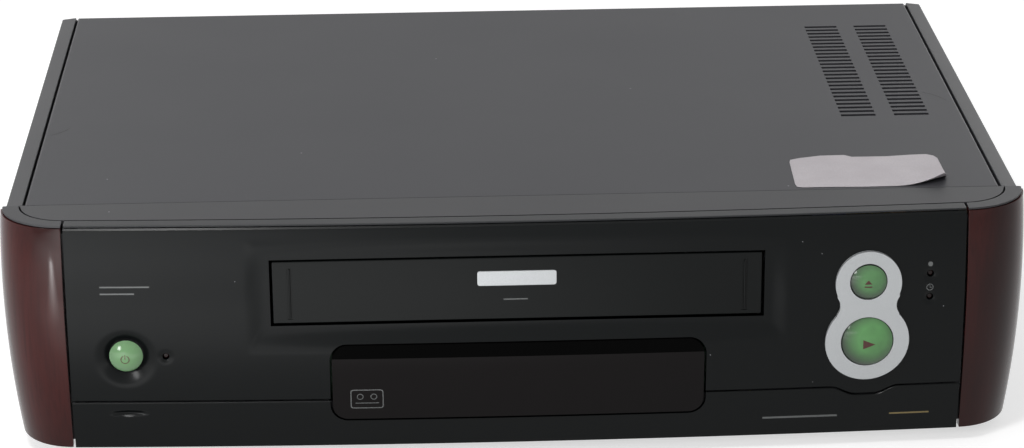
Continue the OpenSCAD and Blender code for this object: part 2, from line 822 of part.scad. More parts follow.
module main_board() {
    color("#2c5a34")
    union() {
        slab(-205, -112, -112, 142, board_z, board_top);
        slab(-113, 108, 80, 142, board_z, board_top);
        for (p = chips) slab(p[0] - p[2] / 2, p[0] + p[2] / 2, p[1] - 8, p[1] + 8, 14, 17.5);
        for (p = coils) post(p[0], p[1], 4, 14, 24);
    }
}

module power_board() {
    color("#7a5a2c")
    union() {
        slab(114, 205, -20, 142, board_z, board_top);
        slab(118, 121, 20, 90, 14, 48);
        for (y = [30, 50, 70]) slab(121, 125.5, y - 5, y + 5, 20, 36);
    }
}

module transformer() {
    color("#a8873a")
    union() {
        slab(150, 188, 40, 74, board_top, 20);
        slab(156, 182, 36, 78, 20, 44);
        slab(150, 188, 42, 72, 24, 40);
    }
}

module capacitors() {
    color("#23306b")
    for (p = cans) post(p[0], p[1], p[2], board_top, p[3]);
}

module tuner_can() {
    color("#b6b9bc")
    union() {
        slab(-203, -148, 88, 134.8, board_top, 46);
        for (y = [96, 110, 124]) slab(-202, -149, y, y + 1, 45, 47);
    }
}

// Tape deck

module arm_slot(side) {
    slot_w = 7;
    spare_deg = 5;
    start_deg = side > 0 ? -arm_rest_deg : -180 + arm_rest_deg - arm_swing_deg;
    translate([drum_pos[0] + side * arm_pivot_x, arm_pivot_y, deck_z0 - 1])
    rotate([0, 0, start_deg - spare_deg])
    rotate_extrude(angle = arm_swing_deg + 2 * spare_deg, $fn = 96)
    translate([arm_reach - slot_w / 2, 0]) square([slot_w, 4]);
}

module deck_plate() {
    color("#a9acb0")
    difference() {
        union() {
            slab(-108, 108, -125, 75, deck_z0, deck_z1);
            for (s = [-1, 1]) post(s * reel_pitch / 2, reel_y, 2, deck_z1 - 0.5, 47);
            for (s = [-1, 1]) post(drum_pos[0] + s * arm_pivot_x, arm_pivot_y, 2, 22, deck_z0 + 0.5);
            post(pulley_pos[0], pulley_pos[1], 5, deck_z0 - 4, deck_z1 + 0.8);
            post(pinch_pivot[0], pinch_pivot[1], 3, deck_z1 - 0.5, 60);
            post(cam_pos[0], cam_pos[1], 3, deck_z1 - 0.5, 40);
            post(capstan_pos[0], capstan_pos[1], 9, deck_z0 - 1.5, deck_z1);
        }
        for (s = [-1, 1]) arm_slot(s);
        post(pulley_pos[0], pulley_pos[1], capstan_r + run_gap, deck_z0 - 6, deck_z1 + 3);
        post(capstan_pos[0], capstan_pos[1], 6.2, deck_z0 - 3, deck_z1 + 3);
    }
}

module carriage_frame() {
    color("#b4b7ba")
    difference() {
        union() {
            both_sides() slab(carriage_x, carriage_x + plate_t, -117, 5, deck_z1, 96.7);
            both_sides() slab(carriage_x, 107, -117, 5, deck_z1, deck_z1 + plate_t);
            slab(-carriage_x - plate_t, carriage_x + plate_t, -20, -8, 95.5, 96.7);
        }
        both_sides()
        slab(99, 102, track_y[0] - 1.7, track_y[1] + basket_back + 1.7, track_z - 1.7, track_z + 1.7);
    }
}

module carriage_slider() {
    color("#d0d2d4")
    difference() {
        union() {
            both_sides() slab(slider_x, slider_x + plate_t, -116, -72, 44, 94.2);
            slab(-slider_x - plate_t, slider_x + plate_t, -90, -80, 93, 94.2);
            for (y = track_y) both_sides() rod_x(y, track_z, 1.5, 97, 102.4);
        }
        for (y = lift_y)
            both_sides() slab(95.8, 97.8, y - 1.7, y + 1.7, lift_z - basket_drop - 2, lift_z + 2);
    }
}

module cassette_basket() {
    y0 = -118.5;
    y1 = -70;
    color("#c6c8cb")
    union() {
        both_sides() slab(basket_x - plate_t, basket_x, y0, y1, door_z0 - 1, 91.1);
        both_sides() slab(80, basket_x, y0, y1, door_z0 - 1, door_z0);
        slab(-basket_x, basket_x, y0, y1, 89.9, 91.1);
        for (x = [-60, 0, 60]) slab(x - 8, x + 8, y1 - plate_t, y1, 80, 90.5);
        for (y = lift_y) both_sides() rod_x(y, lift_z, 1.5, 95, 99.2);
    }
}

module drum_place() {
    translate(drum_pos) rotate([-drum_tilt, 0, 0]) children();
}

module lower_drum() {
    color("#9fa3a8")
    difference() {
        union() {
            drum_place() cylinder(r = drum_r, h = 18, $fn = 96);
            drum_place() translate([0, 0, 16]) cylinder(r = 8, h = 2);
            slab(drum_pos[0] - 20, drum_pos[0] + 20, 4, 42, deck_z1, 34);
        }
        drum_place() translate([0, 0, -20]) cylinder(r = 2.5 + run_gap, h = 60);
    }
}

module upper_drum() {
    color("#c9cdd2")
    drum_place() {
        difference() {
            translate([0, 0, 18.4]) cylinder(r = drum_r, h = 19, $fn = 96);
            translate([0, 0, 33]) cylinder(r = 24, h = 10);
        }
        translate([0, 0, 32]) cylinder(r = 9, h = 8);
        translate([0, 0, 2]) cylinder(r = 2.5, h = 40);
    }
}

module capstan() {
    color("#b9bcc0") {
        post(capstan_pos[0], capstan_pos[1], capstan_r, belt_z0, 58);
        post(capstan_pos[0], capstan_pos[1], 26, 15.6, 19.6);
        post(capstan_pos[0], capstan_pos[1], capstan_pulley_r, belt_z0, 15.8);
    }
}

module capstan_motor() {
    color("#6f7276")
    difference() {
        union() {
            post(capstan_pos[0], capstan_pos[1], 6, 20.2, 40);
            post(capstan_pos[0], capstan_pos[1], 22, 20.2, 22);
        }
        post(capstan_pos[0], capstan_pos[1], capstan_r + run_gap, 10, 45);
    }
}

module pinch_place() {
    translate([pinch_pivot[0], pinch_pivot[1], 0]) rotate([0, 0, pinch_rest_deg]) children();
}

module pinch_arm() {
    color("#c2c5c9")
    pinch_place() {
        difference() {
            union() {
                translate([0, 0, 44]) cylinder(r = 5.5, h = 14);
                slab(0, pinch_reach, -4, 4, 56.5, 58);
                translate([pinch_reach, 0, 56.5]) cylinder(r = 4, h = 1.5);
                translate([pinch_reach, 0, 40.5]) cylinder(r = 1.5, h = 17);
            }
            translate([0, 0, 30]) cylinder(r = 3 + run_gap, h = 40);
        }
    }
}

module pinch_roller() {
    color("#1b1b1b")
    pinch_place() translate([pinch_reach, 0, 0])
    difference() {
        translate([0, 0, 41]) cylinder(r = pinch_r, h = 14);
        translate([0, 0, 30]) cylinder(r = 1.5 + run_gap, h = 40);
    }
}

module reel_table(side) {
    translate([side * reel_pitch / 2, reel_y, 0])
    difference() {
        union() {
            translate([0, 0, wheel_z0]) cylinder(r = reel_rim_r, h = wheel_z1 - wheel_z0, $fn = 96);
            translate([0, 0, wheel_z1 - 0.5]) cylinder(r = 16, h = 3);
            translate([0, 0, wheel_z1]) cylinder(r = 7, h = 17);
            for (a = [0, 120, 240]) rotate([0, 0, a]) slab(5, 9.5, -1.2, 1.2, 35, 47);
        }
        translate([0, 0, 20]) cylinder(r = 2 + run_gap, h = 27.4);
    }
}

module supply_reel_table() {
    color("#e4e2da") reel_table(-1);
}

module take_up_reel_table() {
    color("#e4e2da") reel_table(1);
}

module idler_arm() {
    color("#c2c5c9")
    translate([pulley_pos[0], pulley_pos[1], 0])
    difference() {
        union() {
            translate([0, 0, 33.6]) cylinder(r = 5, h = 1.6);
            slab(-3, 3, -idler_reach, 0, 33.6, 35.2);
            translate([0, -idler_reach, 33.6]) cylinder(r = 3, h = 1.6);
            translate([0, -idler_reach, 29.6]) cylinder(r = 1.5, h = 5);
        }
        translate([0, 0, 20]) cylinder(r = capstan_r + run_gap, h = 30);
    }
}

module idler_wheel() {
    color("#2a2a2a")
    translate([pulley_pos[0], pulley_pos[1] - idler_reach, 0])
    difference() {
        translate([0, 0, wheel_z0]) cylinder(r = idler_r, h = wheel_z1 - wheel_z0, $fn = 72);
        translate([0, 0, 20]) cylinder(r = 1.5 + run_gap, h = 30);
    }
}

// Flat belt round the two lower pulleys
module belt_outline(grow) {
    hull() {
        translate(capstan_pos) circle(r = capstan_pulley_r + grow);
        translate(pulley_pos) circle(r = centre_pulley_r + grow);
    }
}

module drive_belt() {
    color("#161616")
    translate([0, 0, belt_z0 + 0.2])
    linear_extrude(height = belt_z1 - belt_z0 - 0.4)
    difference() {
        belt_outline(1.1);
        belt_outline(0.15);
    }
}

module centre_pulley() {
    color("#e4e2da") {
        post(pulley_pos[0], pulley_pos[1], centre_pulley_r, belt_z0 - 0.5, belt_z1 + 0.5);
        post(pulley_pos[0], pulley_pos[1], capstan_r, belt_z0, 36);
        post(pulley_pos[0], pulley_pos[1], centre_wheel_r, wheel_z0, wheel_z1);
    }
}

module cam_gear() {
    color("#e9e6dc")
    translate([cam_pos[0], cam_pos[1], 0])
    difference() {
        union() {
            translate([0, 0, 30]) linear_extrude(height = 5) gear_outline(cam_teeth);
            translate([0, 0, 34]) cylinder(r = 7, h = 5);
        }
        translate([0, 0, 20]) cylinder(r = 3 + run_gap, h = 30);
        translate([11, 0, 33.5]) cylinder(r = 2, h = 5);
    }
}

module loading_motor() {
    color("#8d9196")
    translate([cam_pos[0], cam_pos[1] + gear_gap, 0])
    difference() {
        union() {
            translate([0, 0, 38]) cylinder(r = 11, h = 24);
            slab(-14, 14, 8, 16, deck_z1, 38);
            slab(-14, 14, -10, 16, 36.8, 38.2);
        }
        translate([0, 0, 20]) cylinder(r = 1 + run_gap, h = 30);
    }
}

module motor_pinion() {
    color("#d8b45a")
    translate([cam_pos[0], cam_pos[1] + gear_gap, 0]) {
        translate([0, 0, 30]) linear_extrude(height = 5) gear_outline(pinion_teeth);
        translate([0, 0, 30]) cylinder(r = 1, h = 16);
    }
}

module loading_arm(side) {
    deg = side > 0 ? -arm_rest_deg : -180 + arm_rest_deg;
    translate([drum_pos[0] + side * arm_pivot_x, arm_pivot_y, 0])
    rotate([0, 0, deg])
    difference() {
        union() {
            translate([0, 0, arm_z0]) cylinder(r = 5, h = arm_z1 - arm_z0);
            slab(0, arm_reach, -3.5, 3.5, arm_z0, arm_z1);
            translate([arm_reach, 0, arm_z0]) cylinder(r = 3.5, h = arm_z1 - arm_z0);
            translate([arm_reach, 0, arm_z0]) cylinder(r = 2.5, h = 34.5);
            translate([arm_reach, 0, deck_z1 + 0.8]) cylinder(r = 4.5, h = 2);
            translate([arm_reach, 0, 37]) cylinder(r = 3, h = 18);
        }
        translate([0, 0, 20]) cylinder(r = 2 + run_gap, h = 10);
    }
}

module supply_loading_arm() {
    color("#c2c5c9") loading_arm(-1);
}

module take_up_loading_arm() {
    color("#c2c5c9") loading_arm(1);
}

module tape_heads() {
    color("#8e9297") {
        slab(-72, -64, -12, -4, deck_z1, 52);
        slab(47, 57, 27, 35, deck_z1, 54);
    }
}

top_cover();
front_frame();
ledge_strip();
corner_caps();
left_cheek();
right_cheek();
left_side_panel();
right_side_panel();
front_fascia();
cassette_flap();
display_window();
control_flap();
button_bezel();
standby_button();
eject_button();
play_button();
indicator_lenses();
rewind_key();
stop_key();
forward_key();
record_key();
channel_rocker();
front_av_sockets();
front_board();
display_tube();
chassis_base();
rear_panel();
feet();
cover_screws();
scart_sockets();
aerial_sockets();
audio_sockets();
mains_inlet();
main_board();
power_board();
transformer();
capacitors();
tuner_can();
deck_plate();
carriage_frame();
carriage_slider();
cassette_basket();
lower_drum();
upper_drum();
capstan();
capstan_motor();
pinch_arm();
pinch_roller();
supply_reel_table();
take_up_reel_table();
idler_arm();
idler_wheel();
drive_belt();
centre_pulley();
cam_gear();
loading_motor();
motor_pinion();
supply_loading_arm();
take_up_loading_arm();
tape_heads();
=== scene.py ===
# %% [markdown]
# # A front-loading video cassette recorder
# The CAD model holds every solid at its true place. This lesson dresses it. The pieces that the
# eye rests on are modelled again with softer edges, the rest keeps its CAD shape, and all of it
# gets a finish. We start by loading the frame, which never moves.

# %% Load the frame
import json
import math

import bpy
from mathutils import Matrix, Vector

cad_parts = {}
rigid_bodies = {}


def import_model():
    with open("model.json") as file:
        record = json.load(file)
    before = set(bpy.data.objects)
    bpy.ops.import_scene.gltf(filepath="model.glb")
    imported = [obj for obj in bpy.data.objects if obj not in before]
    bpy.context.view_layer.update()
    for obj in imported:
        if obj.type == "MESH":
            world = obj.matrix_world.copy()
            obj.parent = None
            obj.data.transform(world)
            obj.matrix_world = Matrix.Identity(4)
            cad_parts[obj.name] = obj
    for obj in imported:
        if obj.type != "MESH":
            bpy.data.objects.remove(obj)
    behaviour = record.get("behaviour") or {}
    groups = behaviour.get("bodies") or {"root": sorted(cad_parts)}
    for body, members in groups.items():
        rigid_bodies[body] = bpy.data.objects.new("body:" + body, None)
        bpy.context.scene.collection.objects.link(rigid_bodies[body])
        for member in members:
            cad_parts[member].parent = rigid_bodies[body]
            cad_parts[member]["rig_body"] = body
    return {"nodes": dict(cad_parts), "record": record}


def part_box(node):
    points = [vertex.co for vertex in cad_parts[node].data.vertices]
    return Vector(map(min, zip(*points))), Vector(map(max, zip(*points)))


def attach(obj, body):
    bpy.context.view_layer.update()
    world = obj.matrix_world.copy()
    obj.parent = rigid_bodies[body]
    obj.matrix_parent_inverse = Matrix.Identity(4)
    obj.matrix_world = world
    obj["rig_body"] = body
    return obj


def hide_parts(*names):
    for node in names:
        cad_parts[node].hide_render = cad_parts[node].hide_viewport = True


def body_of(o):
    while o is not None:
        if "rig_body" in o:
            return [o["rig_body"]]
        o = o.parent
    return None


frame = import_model()
nodes = frame["nodes"]
scene = bpy.context.scene
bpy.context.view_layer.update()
MM = 0.001

# %% [markdown]
# The camera comes first, so that every render can be set beside the photograph. Its place was
# solved from the edges of the case. It stands a little to the left, about 1.4 m away, and looks
# down at twenty degrees through a long lens.

# %% Place the camera
CAMERA_PLACE = (-49.13, -1395.72, 589.01)
CAMERA_FORWARD = (0.03507, 0.93206, -0.36060)
CAMERA_UP = (0.02049, 0.36007, 0.93270)
lens_data = bpy.data.cameras.new("camera")
lens_data.lens = 112.5
lens_data.sensor_width = 36
lens_data.clip_start = 0.05
camera = bpy.data.objects.new("camera", lens_data)
scene.collection.objects.link(camera)
forward = Vector(CAMERA_FORWARD).normalized()
right = forward.cross(Vector(CAMERA_UP)).normalized()
turn = Matrix((right, right.cross(forward), -forward)).transposed().to_4x4()
camera.matrix_world = Matrix.Translation(Vector(CAMERA_PLACE) * MM) @ turn
scene.camera = camera
scene.view_settings.view_transform = "Standard"
print("camera at", [round(v, 3) for v in camera.location])

# %% [markdown]
# Operators act on whatever is selected, and the loaded nodes are all selected. These helpers
# clear the selection, name what an operator made, and open a piece in edit mode with all of it
# selected, or only the edges whose two end points pass a test. What is chosen is then bevelled or
# extruded, and a closed shape has its faces turned outwards.


# %% Helpers for operators
def clear():
    if bpy.context.object and bpy.context.object.mode != "OBJECT":
        bpy.ops.object.mode_set(mode="OBJECT")
    bpy.ops.object.select_all(action="DESELECT")


def take(name):
    piece = bpy.context.object
    piece.name = name
    piece.data.name = name
    return piece


def hold(piece):
    clear()
    piece.select_set(True)
    bpy.context.view_layer.objects.active = piece


def settle(piece):
    hold(piece)
    bpy.ops.object.transform_apply(location=True, rotation=True, scale=True)
    return piece


def all_of(piece):
    hold(piece)
    bpy.ops.object.mode_set(mode="EDIT")
    bpy.ops.mesh.select_all(action="SELECT")


def choose_edges(piece, test):
    all_of(piece)
    bpy.ops.mesh.select_mode(type="EDGE")
    bpy.ops.mesh.select_all(action="DESELECT")
    bpy.ops.object.mode_set(mode="OBJECT")
    points = piece.data.vertices
    for edge in piece.data.edges:
        edge.select = bool(test(*(points[i].co for i in edge.vertices)))
    bpy.ops.object.mode_set(mode="EDIT")


def bevel_chosen(width, segments):
    bpy.ops.mesh.bevel(offset=width * MM, segments=segments, affect="EDGES")


def extrude_chosen(*move):
    bpy.ops.mesh.extrude_region_move(TRANSFORM_OT_translate={"value": move})


def turn_outwards():
    bpy.ops.mesh.select_all(action="SELECT")
    bpy.ops.mesh.normals_make_consistent(inside=False)


def done(piece):
    clear()
    return piece


def use(piece, kind, **settings):
    hold(piece)
    modifier = piece.modifiers.new(kind.lower(), kind)
    for key, value in settings.items():
        setattr(modifier, key, value)
    bpy.ops.object.modifier_apply(modifier=modifier.name)
    return piece


# %% [markdown]
# Nearly every edge of a real moulding is slightly round, and that fine round is what catches the
# light. One helper rounds the sharp edges, and another shades a piece smooth while its large
# flat faces stay flat to the eye. A third gives a sheet its wall. The last says which body a
# piece rides on and which nodes it stands for.


# %% Helpers for edges and shading
def round_edges(piece, width, segments=3, degrees=50):
    return use(
        piece,
        "BEVEL",
        width=width * MM,
        segments=segments,
        limit_method="ANGLE",
        angle_limit=math.radians(degrees),
    )


def thicken(piece, wall, offset=-1):
    return use(piece, "SOLIDIFY", thickness=wall * MM, offset=offset)


def smooth(piece, degrees=35):
    hold(piece)
    bpy.ops.object.shade_smooth_by_angle(angle=math.radians(degrees))
    return use(piece, "WEIGHTED_NORMAL", keep_sharp=True, weight=80)


def dress(piece, body, slot, *replaced):
    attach(piece, body)
    if replaced:
        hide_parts(*replaced)
    print(piece.name, len(piece.data.polygons), "faces")
    return piece


# %% [markdown]
# Most hard pieces start as a cube of the right size, a rod or a flat grid. The grid stands
# upright and faces the viewer, ready to be bent to the front of the machine. An outline that no
# primitive has starts as a circle whose points are moved onto it. A rod or prism that only cuts
# reaches through the whole front, from NEAR to FAR.


# %% Helpers for first shapes
NEAR, FAR = -170, -130


def block(name, low, high, bevel=0.0, segments=3):
    clear()
    middle = [(a + b) / 2 * MM for a, b in zip(low, high)]
    bpy.ops.mesh.primitive_cube_add(size=1, location=middle)
    piece = take(name)
    piece.scale = [(b - a) * MM for a, b in zip(low, high)]
    settle(piece)
    if bevel:
        all_of(piece)
        bevel_chosen(bevel, segments)
    return done(piece)


def rod(name, x, z, radius, y0=NEAR, y1=FAR, sides=96, roll=0.0):
    clear()
    bpy.ops.mesh.primitive_cylinder_add(
        vertices=sides,
        radius=radius * MM,
        depth=(y1 - y0) * MM,
        location=(x * MM, (y0 + y1) / 2 * MM, z * MM),
        rotation=(math.pi / 2, roll, 0),
    )
    return settle(take(name))


def upright_grid(name, x0, x1, z0, z1, columns, rows):
    clear()
    bpy.ops.mesh.primitive_grid_add(
        x_subdivisions=columns,
        y_subdivisions=rows,
        size=1,
        location=((x0 + x1) / 2 * MM, 0, (z0 + z1) / 2 * MM),
        rotation=(math.pi / 2, 0, 0),
    )
    piece = take(name)
    piece.scale = ((x1 - x0) * MM, (z1 - z0) * MM, 1)
    return settle(piece)


def rounded_prism(name, x0, x1, z0, z1, radius, y0=NEAR, y1=FAR, segments=12):
    piece = block(name, (x0, y0, z0), (x1, y1, z1))
    choose_edges(piece, lambda a, b: abs((b - a).normalized().y) > 0.99)
    bevel_chosen(radius, segments)
    return done(piece)


def flat_prism(name, points, z0, z1):
    clear()
    bpy.ops.mesh.primitive_circle_add(vertices=len(points), radius=1, fill_type="NGON")
    piece = take(name)
    for vertex, (x, y) in zip(piece.data.vertices, points):
        vertex.co = Vector((x, y, z0)) * MM
    all_of(piece)
    extrude_chosen(0, 0, (z1 - z0) * MM)
    turn_outwards()
    return done(piece)


def join(name, pieces):
    clear()
    for piece in pieces:
        piece.select_set(True)
    bpy.context.view_layer.objects.active = pieces[0]
    if len(pieces) > 1:
        bpy.ops.object.join()
    return take(name)


def cut(piece, tool, operation="DIFFERENCE"):
    use(piece, "BOOLEAN", operation=operation, object=tool, solver="EXACT")
    bpy.data.objects.remove(tool)
    return piece


# %% [markdown]
# Sizes that the CAD model already knows are read from the boxes of its nodes. Only what a box
# doesn't tell, such as a radius or a bow, is written here again, in millimetres.


# %% Read sizes from the frame
def box_mm(node):
    low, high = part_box(node)
    return [v / MM for v in low], [v / MM for v in high]


def centre_of(node, across=0.0, up=0.0):
    low, high = box_mm(node)
    return (low[0] + high[0]) / 2 + across, (low[2] + high[2]) / 2 + up


cheek_low, cheek_high = box_mm("right_cheek")
flap_low, flap_high = box_mm("cassette_flap")
window_low, window_high = box_mm("display_window")
strip_low, strip_high = box_mm("control_flap")
TOP = box_mm("top_cover")[1][2]
CORNER_R = 29.9
CORNER_X = cheek_high[0] - CORNER_R
CORNER_Y = cheek_high[1] + 0.15
BOW = 4.5
EDGE_X = box_mm("front_fascia")[1][0]
FRONT_Y = CORNER_Y - CORNER_R - BOW
CHEEK_LOW = cheek_low[2] - 0.4
BELLY_Z = 65
BELLY_R = 400
UPPER_R = 210
FRONT_TOP = TOP - 1.1
PIN = 3
DOOR_X = flap_high[0] - PIN
DOOR_Y = -149.2
WELL_Y = DOOR_Y - 0.4
PLAY = centre_of("play_button", -0.4, 0.3)
EJECT = centre_of("eject_button", -0.6, 0.9)
STANDBY = centre_of("standby_button", -0.4, -0.4)
LAMPS = [(-149, 50.1), (174.9, 80.1), (174.9, 69.8)]
print("front middle at y", round(FRONT_Y, 2), "play button at", [round(v, 2) for v in PLAY])

# %% [markdown]
# The whole front is one very shallow curve. It bows out in the middle and leans back above and
# below. One function gives its depth at any place. A second one adds the scooped well round the
# cassette flap, whose four slopes meet in mitres, the dish round the standby button, the dimples
# of the lamps and a fine bevel along the top edge, which catches the light. Two helpers then
# give a piece's points in millimetres and push a flat grid back onto such a curve.


# %% The curve of the front
def ease(value):
    t = min(1.0, max(0.0, value))
    return t * t * (3 - 2 * t)


def belly(z):
    return (z - BELLY_Z) ** 2 / (2 * (BELLY_R if z < BELLY_Z else UPPER_R))


def front_y(x, z):
    return FRONT_Y + BOW * (x / CORNER_X) ** 2 + belly(z)


WELL_X, WELL_SIDE = 115.2, 8.5
WELL_LOW, WELL_RISE = 50.5, 12
WELL_HIGH, WELL_DROP = 102, 8.6
MITRE_SOFT = 0.25
DISH_AT = (STANDBY[0] - 0.2, STANDBY[1] - 1.8)
DISH_R, DISH_DEPTH = 14, 5.4
FASCIA_EDGE, FASCIA_SLOPE = 0.9, 0.74
STRIP_EDGE, STRIP_SLOPE = 0.42, 0.98
DIMPLE_R, DIMPLE_DEPTH = 3.4, 1.3


def bowl(x, z, place, radius, depth):
    reach = math.hypot(x - place[0], z - place[1]) / radius
    return depth * max(0.0, 1 - reach * reach) ** 2


def fascia_y(x, z):
    y = front_y(x, z)
    across = (WELL_X - abs(x)) / WELL_SIDE
    upward = min((z - WELL_LOW) / WELL_RISE, (WELL_HIGH - z) / WELL_DROP)
    soft = max(0.0, MITRE_SOFT - abs(across - upward)) ** 2 / (4 * MITRE_SOFT)
    y += (WELL_Y - y) * ease(min(across, upward) - soft)
    y += bowl(x, z, DISH_AT, DISH_R, DISH_DEPTH)
    for lamp in LAMPS:
        y += bowl(x, z, lamp, DIMPLE_R, DIMPLE_DEPTH)
    return y + FASCIA_SLOPE * max(0.0, z - FRONT_TOP + FASCIA_EDGE)


def places(piece):
    for point in piece.data.vertices:
        yield point, *(v / MM for v in point.co)


def lay(piece, depth):
    for point, x, y, z in places(piece):
        point.co.y += depth(x, z) * MM


# %% [markdown]
# The seam between the fascia and the control flap is straight, but dips in a soft S under the
# round buttons. Both pieces start as grids whose rows are pushed down by the same amount, so the
# gap between them stays even.


# %% The dip in the seam
DIP_DEPTH, DIP_REACH, DIP_SLOPE = 3.6, 14.5, 10.5
FASCIA_LOW = strip_high[2] + 1.05
DIP_FADE = 14


def dip(x):
    return DIP_DEPTH * ease((DIP_REACH - abs(x - PLAY[0])) / DIP_SLOPE)


# %% [markdown]
# The fascia is one thin moulding. A fine grid is laid on the curve, gets its wall by Solidify,
# and then loses the openings for the flap, the window, the buttons and the lamps.

# %% Model the fascia
WINDOW_TOP = window_high[2] - 1.2
FASCIA_WALL = 2.5
PLAY_HOLE, EJECT_HOLE, STANDBY_HOLE, LAMP_HOLE = 11.3, 8.0, 7.35, 1.5
fascia = upright_grid("fascia", -EDGE_X, EDGE_X, FASCIA_LOW, FRONT_TOP, 380, 90)
for point, x, y, z in places(fascia):
    point.co.z -= dip(x) * max(0.0, 1 - (z - FASCIA_LOW) / DIP_FADE) * MM
lay(fascia, fascia_y)
thicken(fascia, FASCIA_WALL)
flap_hole = (
    (-DOOR_X - 1.1, NEAR, flap_low[2] - 0.9),
    (DOOR_X + 1.1, FAR, flap_high[2] + 1),
)
window_hole = (window_low[0] - 1, window_high[0] + 1, window_low[2] - 1, WINDOW_TOP + 0.8)
openings = [
    block("flap_hole", *flap_hole),
    rounded_prism("window_hole", *window_hole, 7.2),
    rod("play_hole", *PLAY, PLAY_HOLE),
    rod("eject_hole", *EJECT, EJECT_HOLE),
    rod("standby_hole", *STANDBY, STANDBY_HOLE),
] + [rod("lamp_hole", x, z, LAMP_HOLE, sides=32) for x, z in LAMPS]
cut(fascia, join("openings", openings))
smooth(fascia, 30)
dress(fascia, "case", "fascia_plastic", "front_fascia")

# %% [markdown]
# Behind the flap's hole the real moulding has a shallow sleeve. It keeps the narrow gap round
# the flap dark, so it is modelled as a frame of four walls. Two small stops close the seams
# beside the cheeks at the bottom, where light would shine through. They stand behind the arc
# in which the control flap swings.

# %% Model the sleeve
SLEEVE_X, SLEEVE_BACK = DOOR_X + 3.2, -139
STOP_HALF, STOP_FRONT, STOP_BACK, STOP_TOP = 2.2, -137.2, -133.6, 12
sleeve = block(
    "sleeve",
    (-SLEEVE_X, WELL_Y + 0.3, flap_low[2] - 3.2),
    (SLEEVE_X, SLEEVE_BACK, flap_high[2] + 3.3),
)
cut(sleeve, block("sleeve_hole", *flap_hole))
stops = []
for x in (-EDGE_X, EDGE_X):
    low = (x - STOP_HALF, STOP_FRONT, CHEEK_LOW + 0.4)
    stops.append(block("seam_stop", low, (x + STOP_HALF, STOP_BACK, STOP_TOP), 0.3, 2))
sleeve = join("sleeve", [sleeve] + stops)
dress(sleeve, "case", "fascia_plastic")

# %% [markdown]
# The cassette flap is a flat plate with two fine upright ribs near its ends. A plain silver bar
# stands where such machines carry a badge. The bar rides on the flap, so it swings in with it.

# %% Model the cassette flap
RIB_X, RIB_LOW, RIB_HIGH = 95.9, 66.2, 88.4
flap = block("flap", (-DOOR_X, DOOR_Y, flap_low[2]), (DOOR_X, DOOR_Y + 2.5, flap_high[2]), 0.5)
ribs, grooves = [], []
for x in (-RIB_X, RIB_X):
    low, high = (x - 0.35, DOOR_Y - 0.55, RIB_LOW), (x + 0.35, DOOR_Y + 0.2, RIB_HIGH)
    ribs.append(block("rib", low, high, 0.35))
    low, high = (x - 1.1, DOOR_Y - 1, RIB_LOW - 0.6), (x + 1.1, DOOR_Y + 0.3, RIB_HIGH + 0.6)
    grooves.append(block("groove", low, high))
cut(flap, join("grooves", grooves))
flap = smooth(join("flap", [flap] + ribs))
dress(flap, "cassette_flap", "fascia_plastic", "cassette_flap")
badge = rounded_prism("badge", -17, 16.4, 79.2, 85.8, 1.1, DOOR_Y - 0.45, DOOR_Y + 0.3, 6)
round_edges(badge, 0.18, 2)
smooth(badge)
dress(badge, "cassette_flap", "bezel_silver")


# %% [markdown]
# The display window is smoked plastic with a polished face. Its top edge leans back in a broad
# bevel. The rounded outline is cut from a curved slab, and the rim gets a small round.


# %% Model the display window
BEVEL_Z, BEVEL_LEAN = 48.5, 2.2
WINDOW_PROUD, WINDOW_WALL, WINDOW_CORNER, WINDOW_ROUND = 0.8, 3, 6.5, 0.6


def window_y(x, z):
    lean = BEVEL_LEAN * max(0.0, (z - BEVEL_Z) / (WINDOW_TOP - BEVEL_Z))
    return front_y(x, z) - WINDOW_PROUD + lean


window = upright_grid("window", -79.5, 79.5, 19, 56, 80, 74)
lay(window, window_y)
thicken(window, WINDOW_WALL)
outline = (window_low[0], window_high[0], window_low[2], WINDOW_TOP)
cut(window, rounded_prism("outline", *outline, WINDOW_CORNER), "INTERSECT")
round_edges(window, WINDOW_ROUND)
smooth(window, 12)
dress(window, "case", "window_plastic", "display_window")


# %% [markdown]
# The control flap closes the whole bottom of the front. Its top edge has a fine bevel, it is
# notched round the window, dips under the buttons, and has a shallow scoop for a fingertip at the
# left. The inside of its lower edge is drawn up to a wedge, so that it can swing down by ninety
# degrees without touching the frame behind it.


# %% Model the control flap
GRIP = (-165.8, 23.2)
GRIP_WIDE, GRIP_HIGH, GRIP_DEEP = 9.5, 1.7, 1.5
STRIP_WALL = 2
WEDGE_HIGH, WEDGE_SHARE = 4, 0.45
strip_top = strip_high[2]
strip_floor = strip_low[2] - 0.5
strip = upright_grid("strip", -EDGE_X, EDGE_X - 0.1, strip_floor, strip_top, 400, 64)
for point, x, y, z in places(strip):
    reach = ((x - GRIP[0]) / GRIP_WIDE) ** 2 + ((z - GRIP[1]) / GRIP_HIGH) ** 2
    edge = STRIP_SLOPE * max(0.0, z - strip_top + STRIP_EDGE)
    point.co.y += (front_y(x, z) + edge) * MM
    point.co.y += GRIP_DEEP * max(0.0, 1 - reach) ** 1.5 * MM
    point.co.z -= dip(x) * max(0.0, (z - strip_floor) / (strip_top - strip_floor)) * MM
thicken(strip, STRIP_WALL)
for point, x, y, z in places(strip):
    below = strip_floor + WEDGE_HIGH - z
    if below > 0 and y > front_y(x, z) + STRIP_WALL / 2:
        point.co.z += WEDGE_SHARE * below * MM
notch = (window_low[0] - 1.1, window_high[0] + 1.1, window_low[2] - 1.2, 50)
cut(strip, rounded_prism("notch", *notch, 7.5))
smooth(strip, 30)
dress(strip, "control_flap", "fascia_plastic", "control_flap")


# %% [markdown]
# The silver surround is a figure eight: two discs joined by a neck whose sides are drawn in. It
# is built from rods by union and difference, and trimmed to a skin that follows the front.

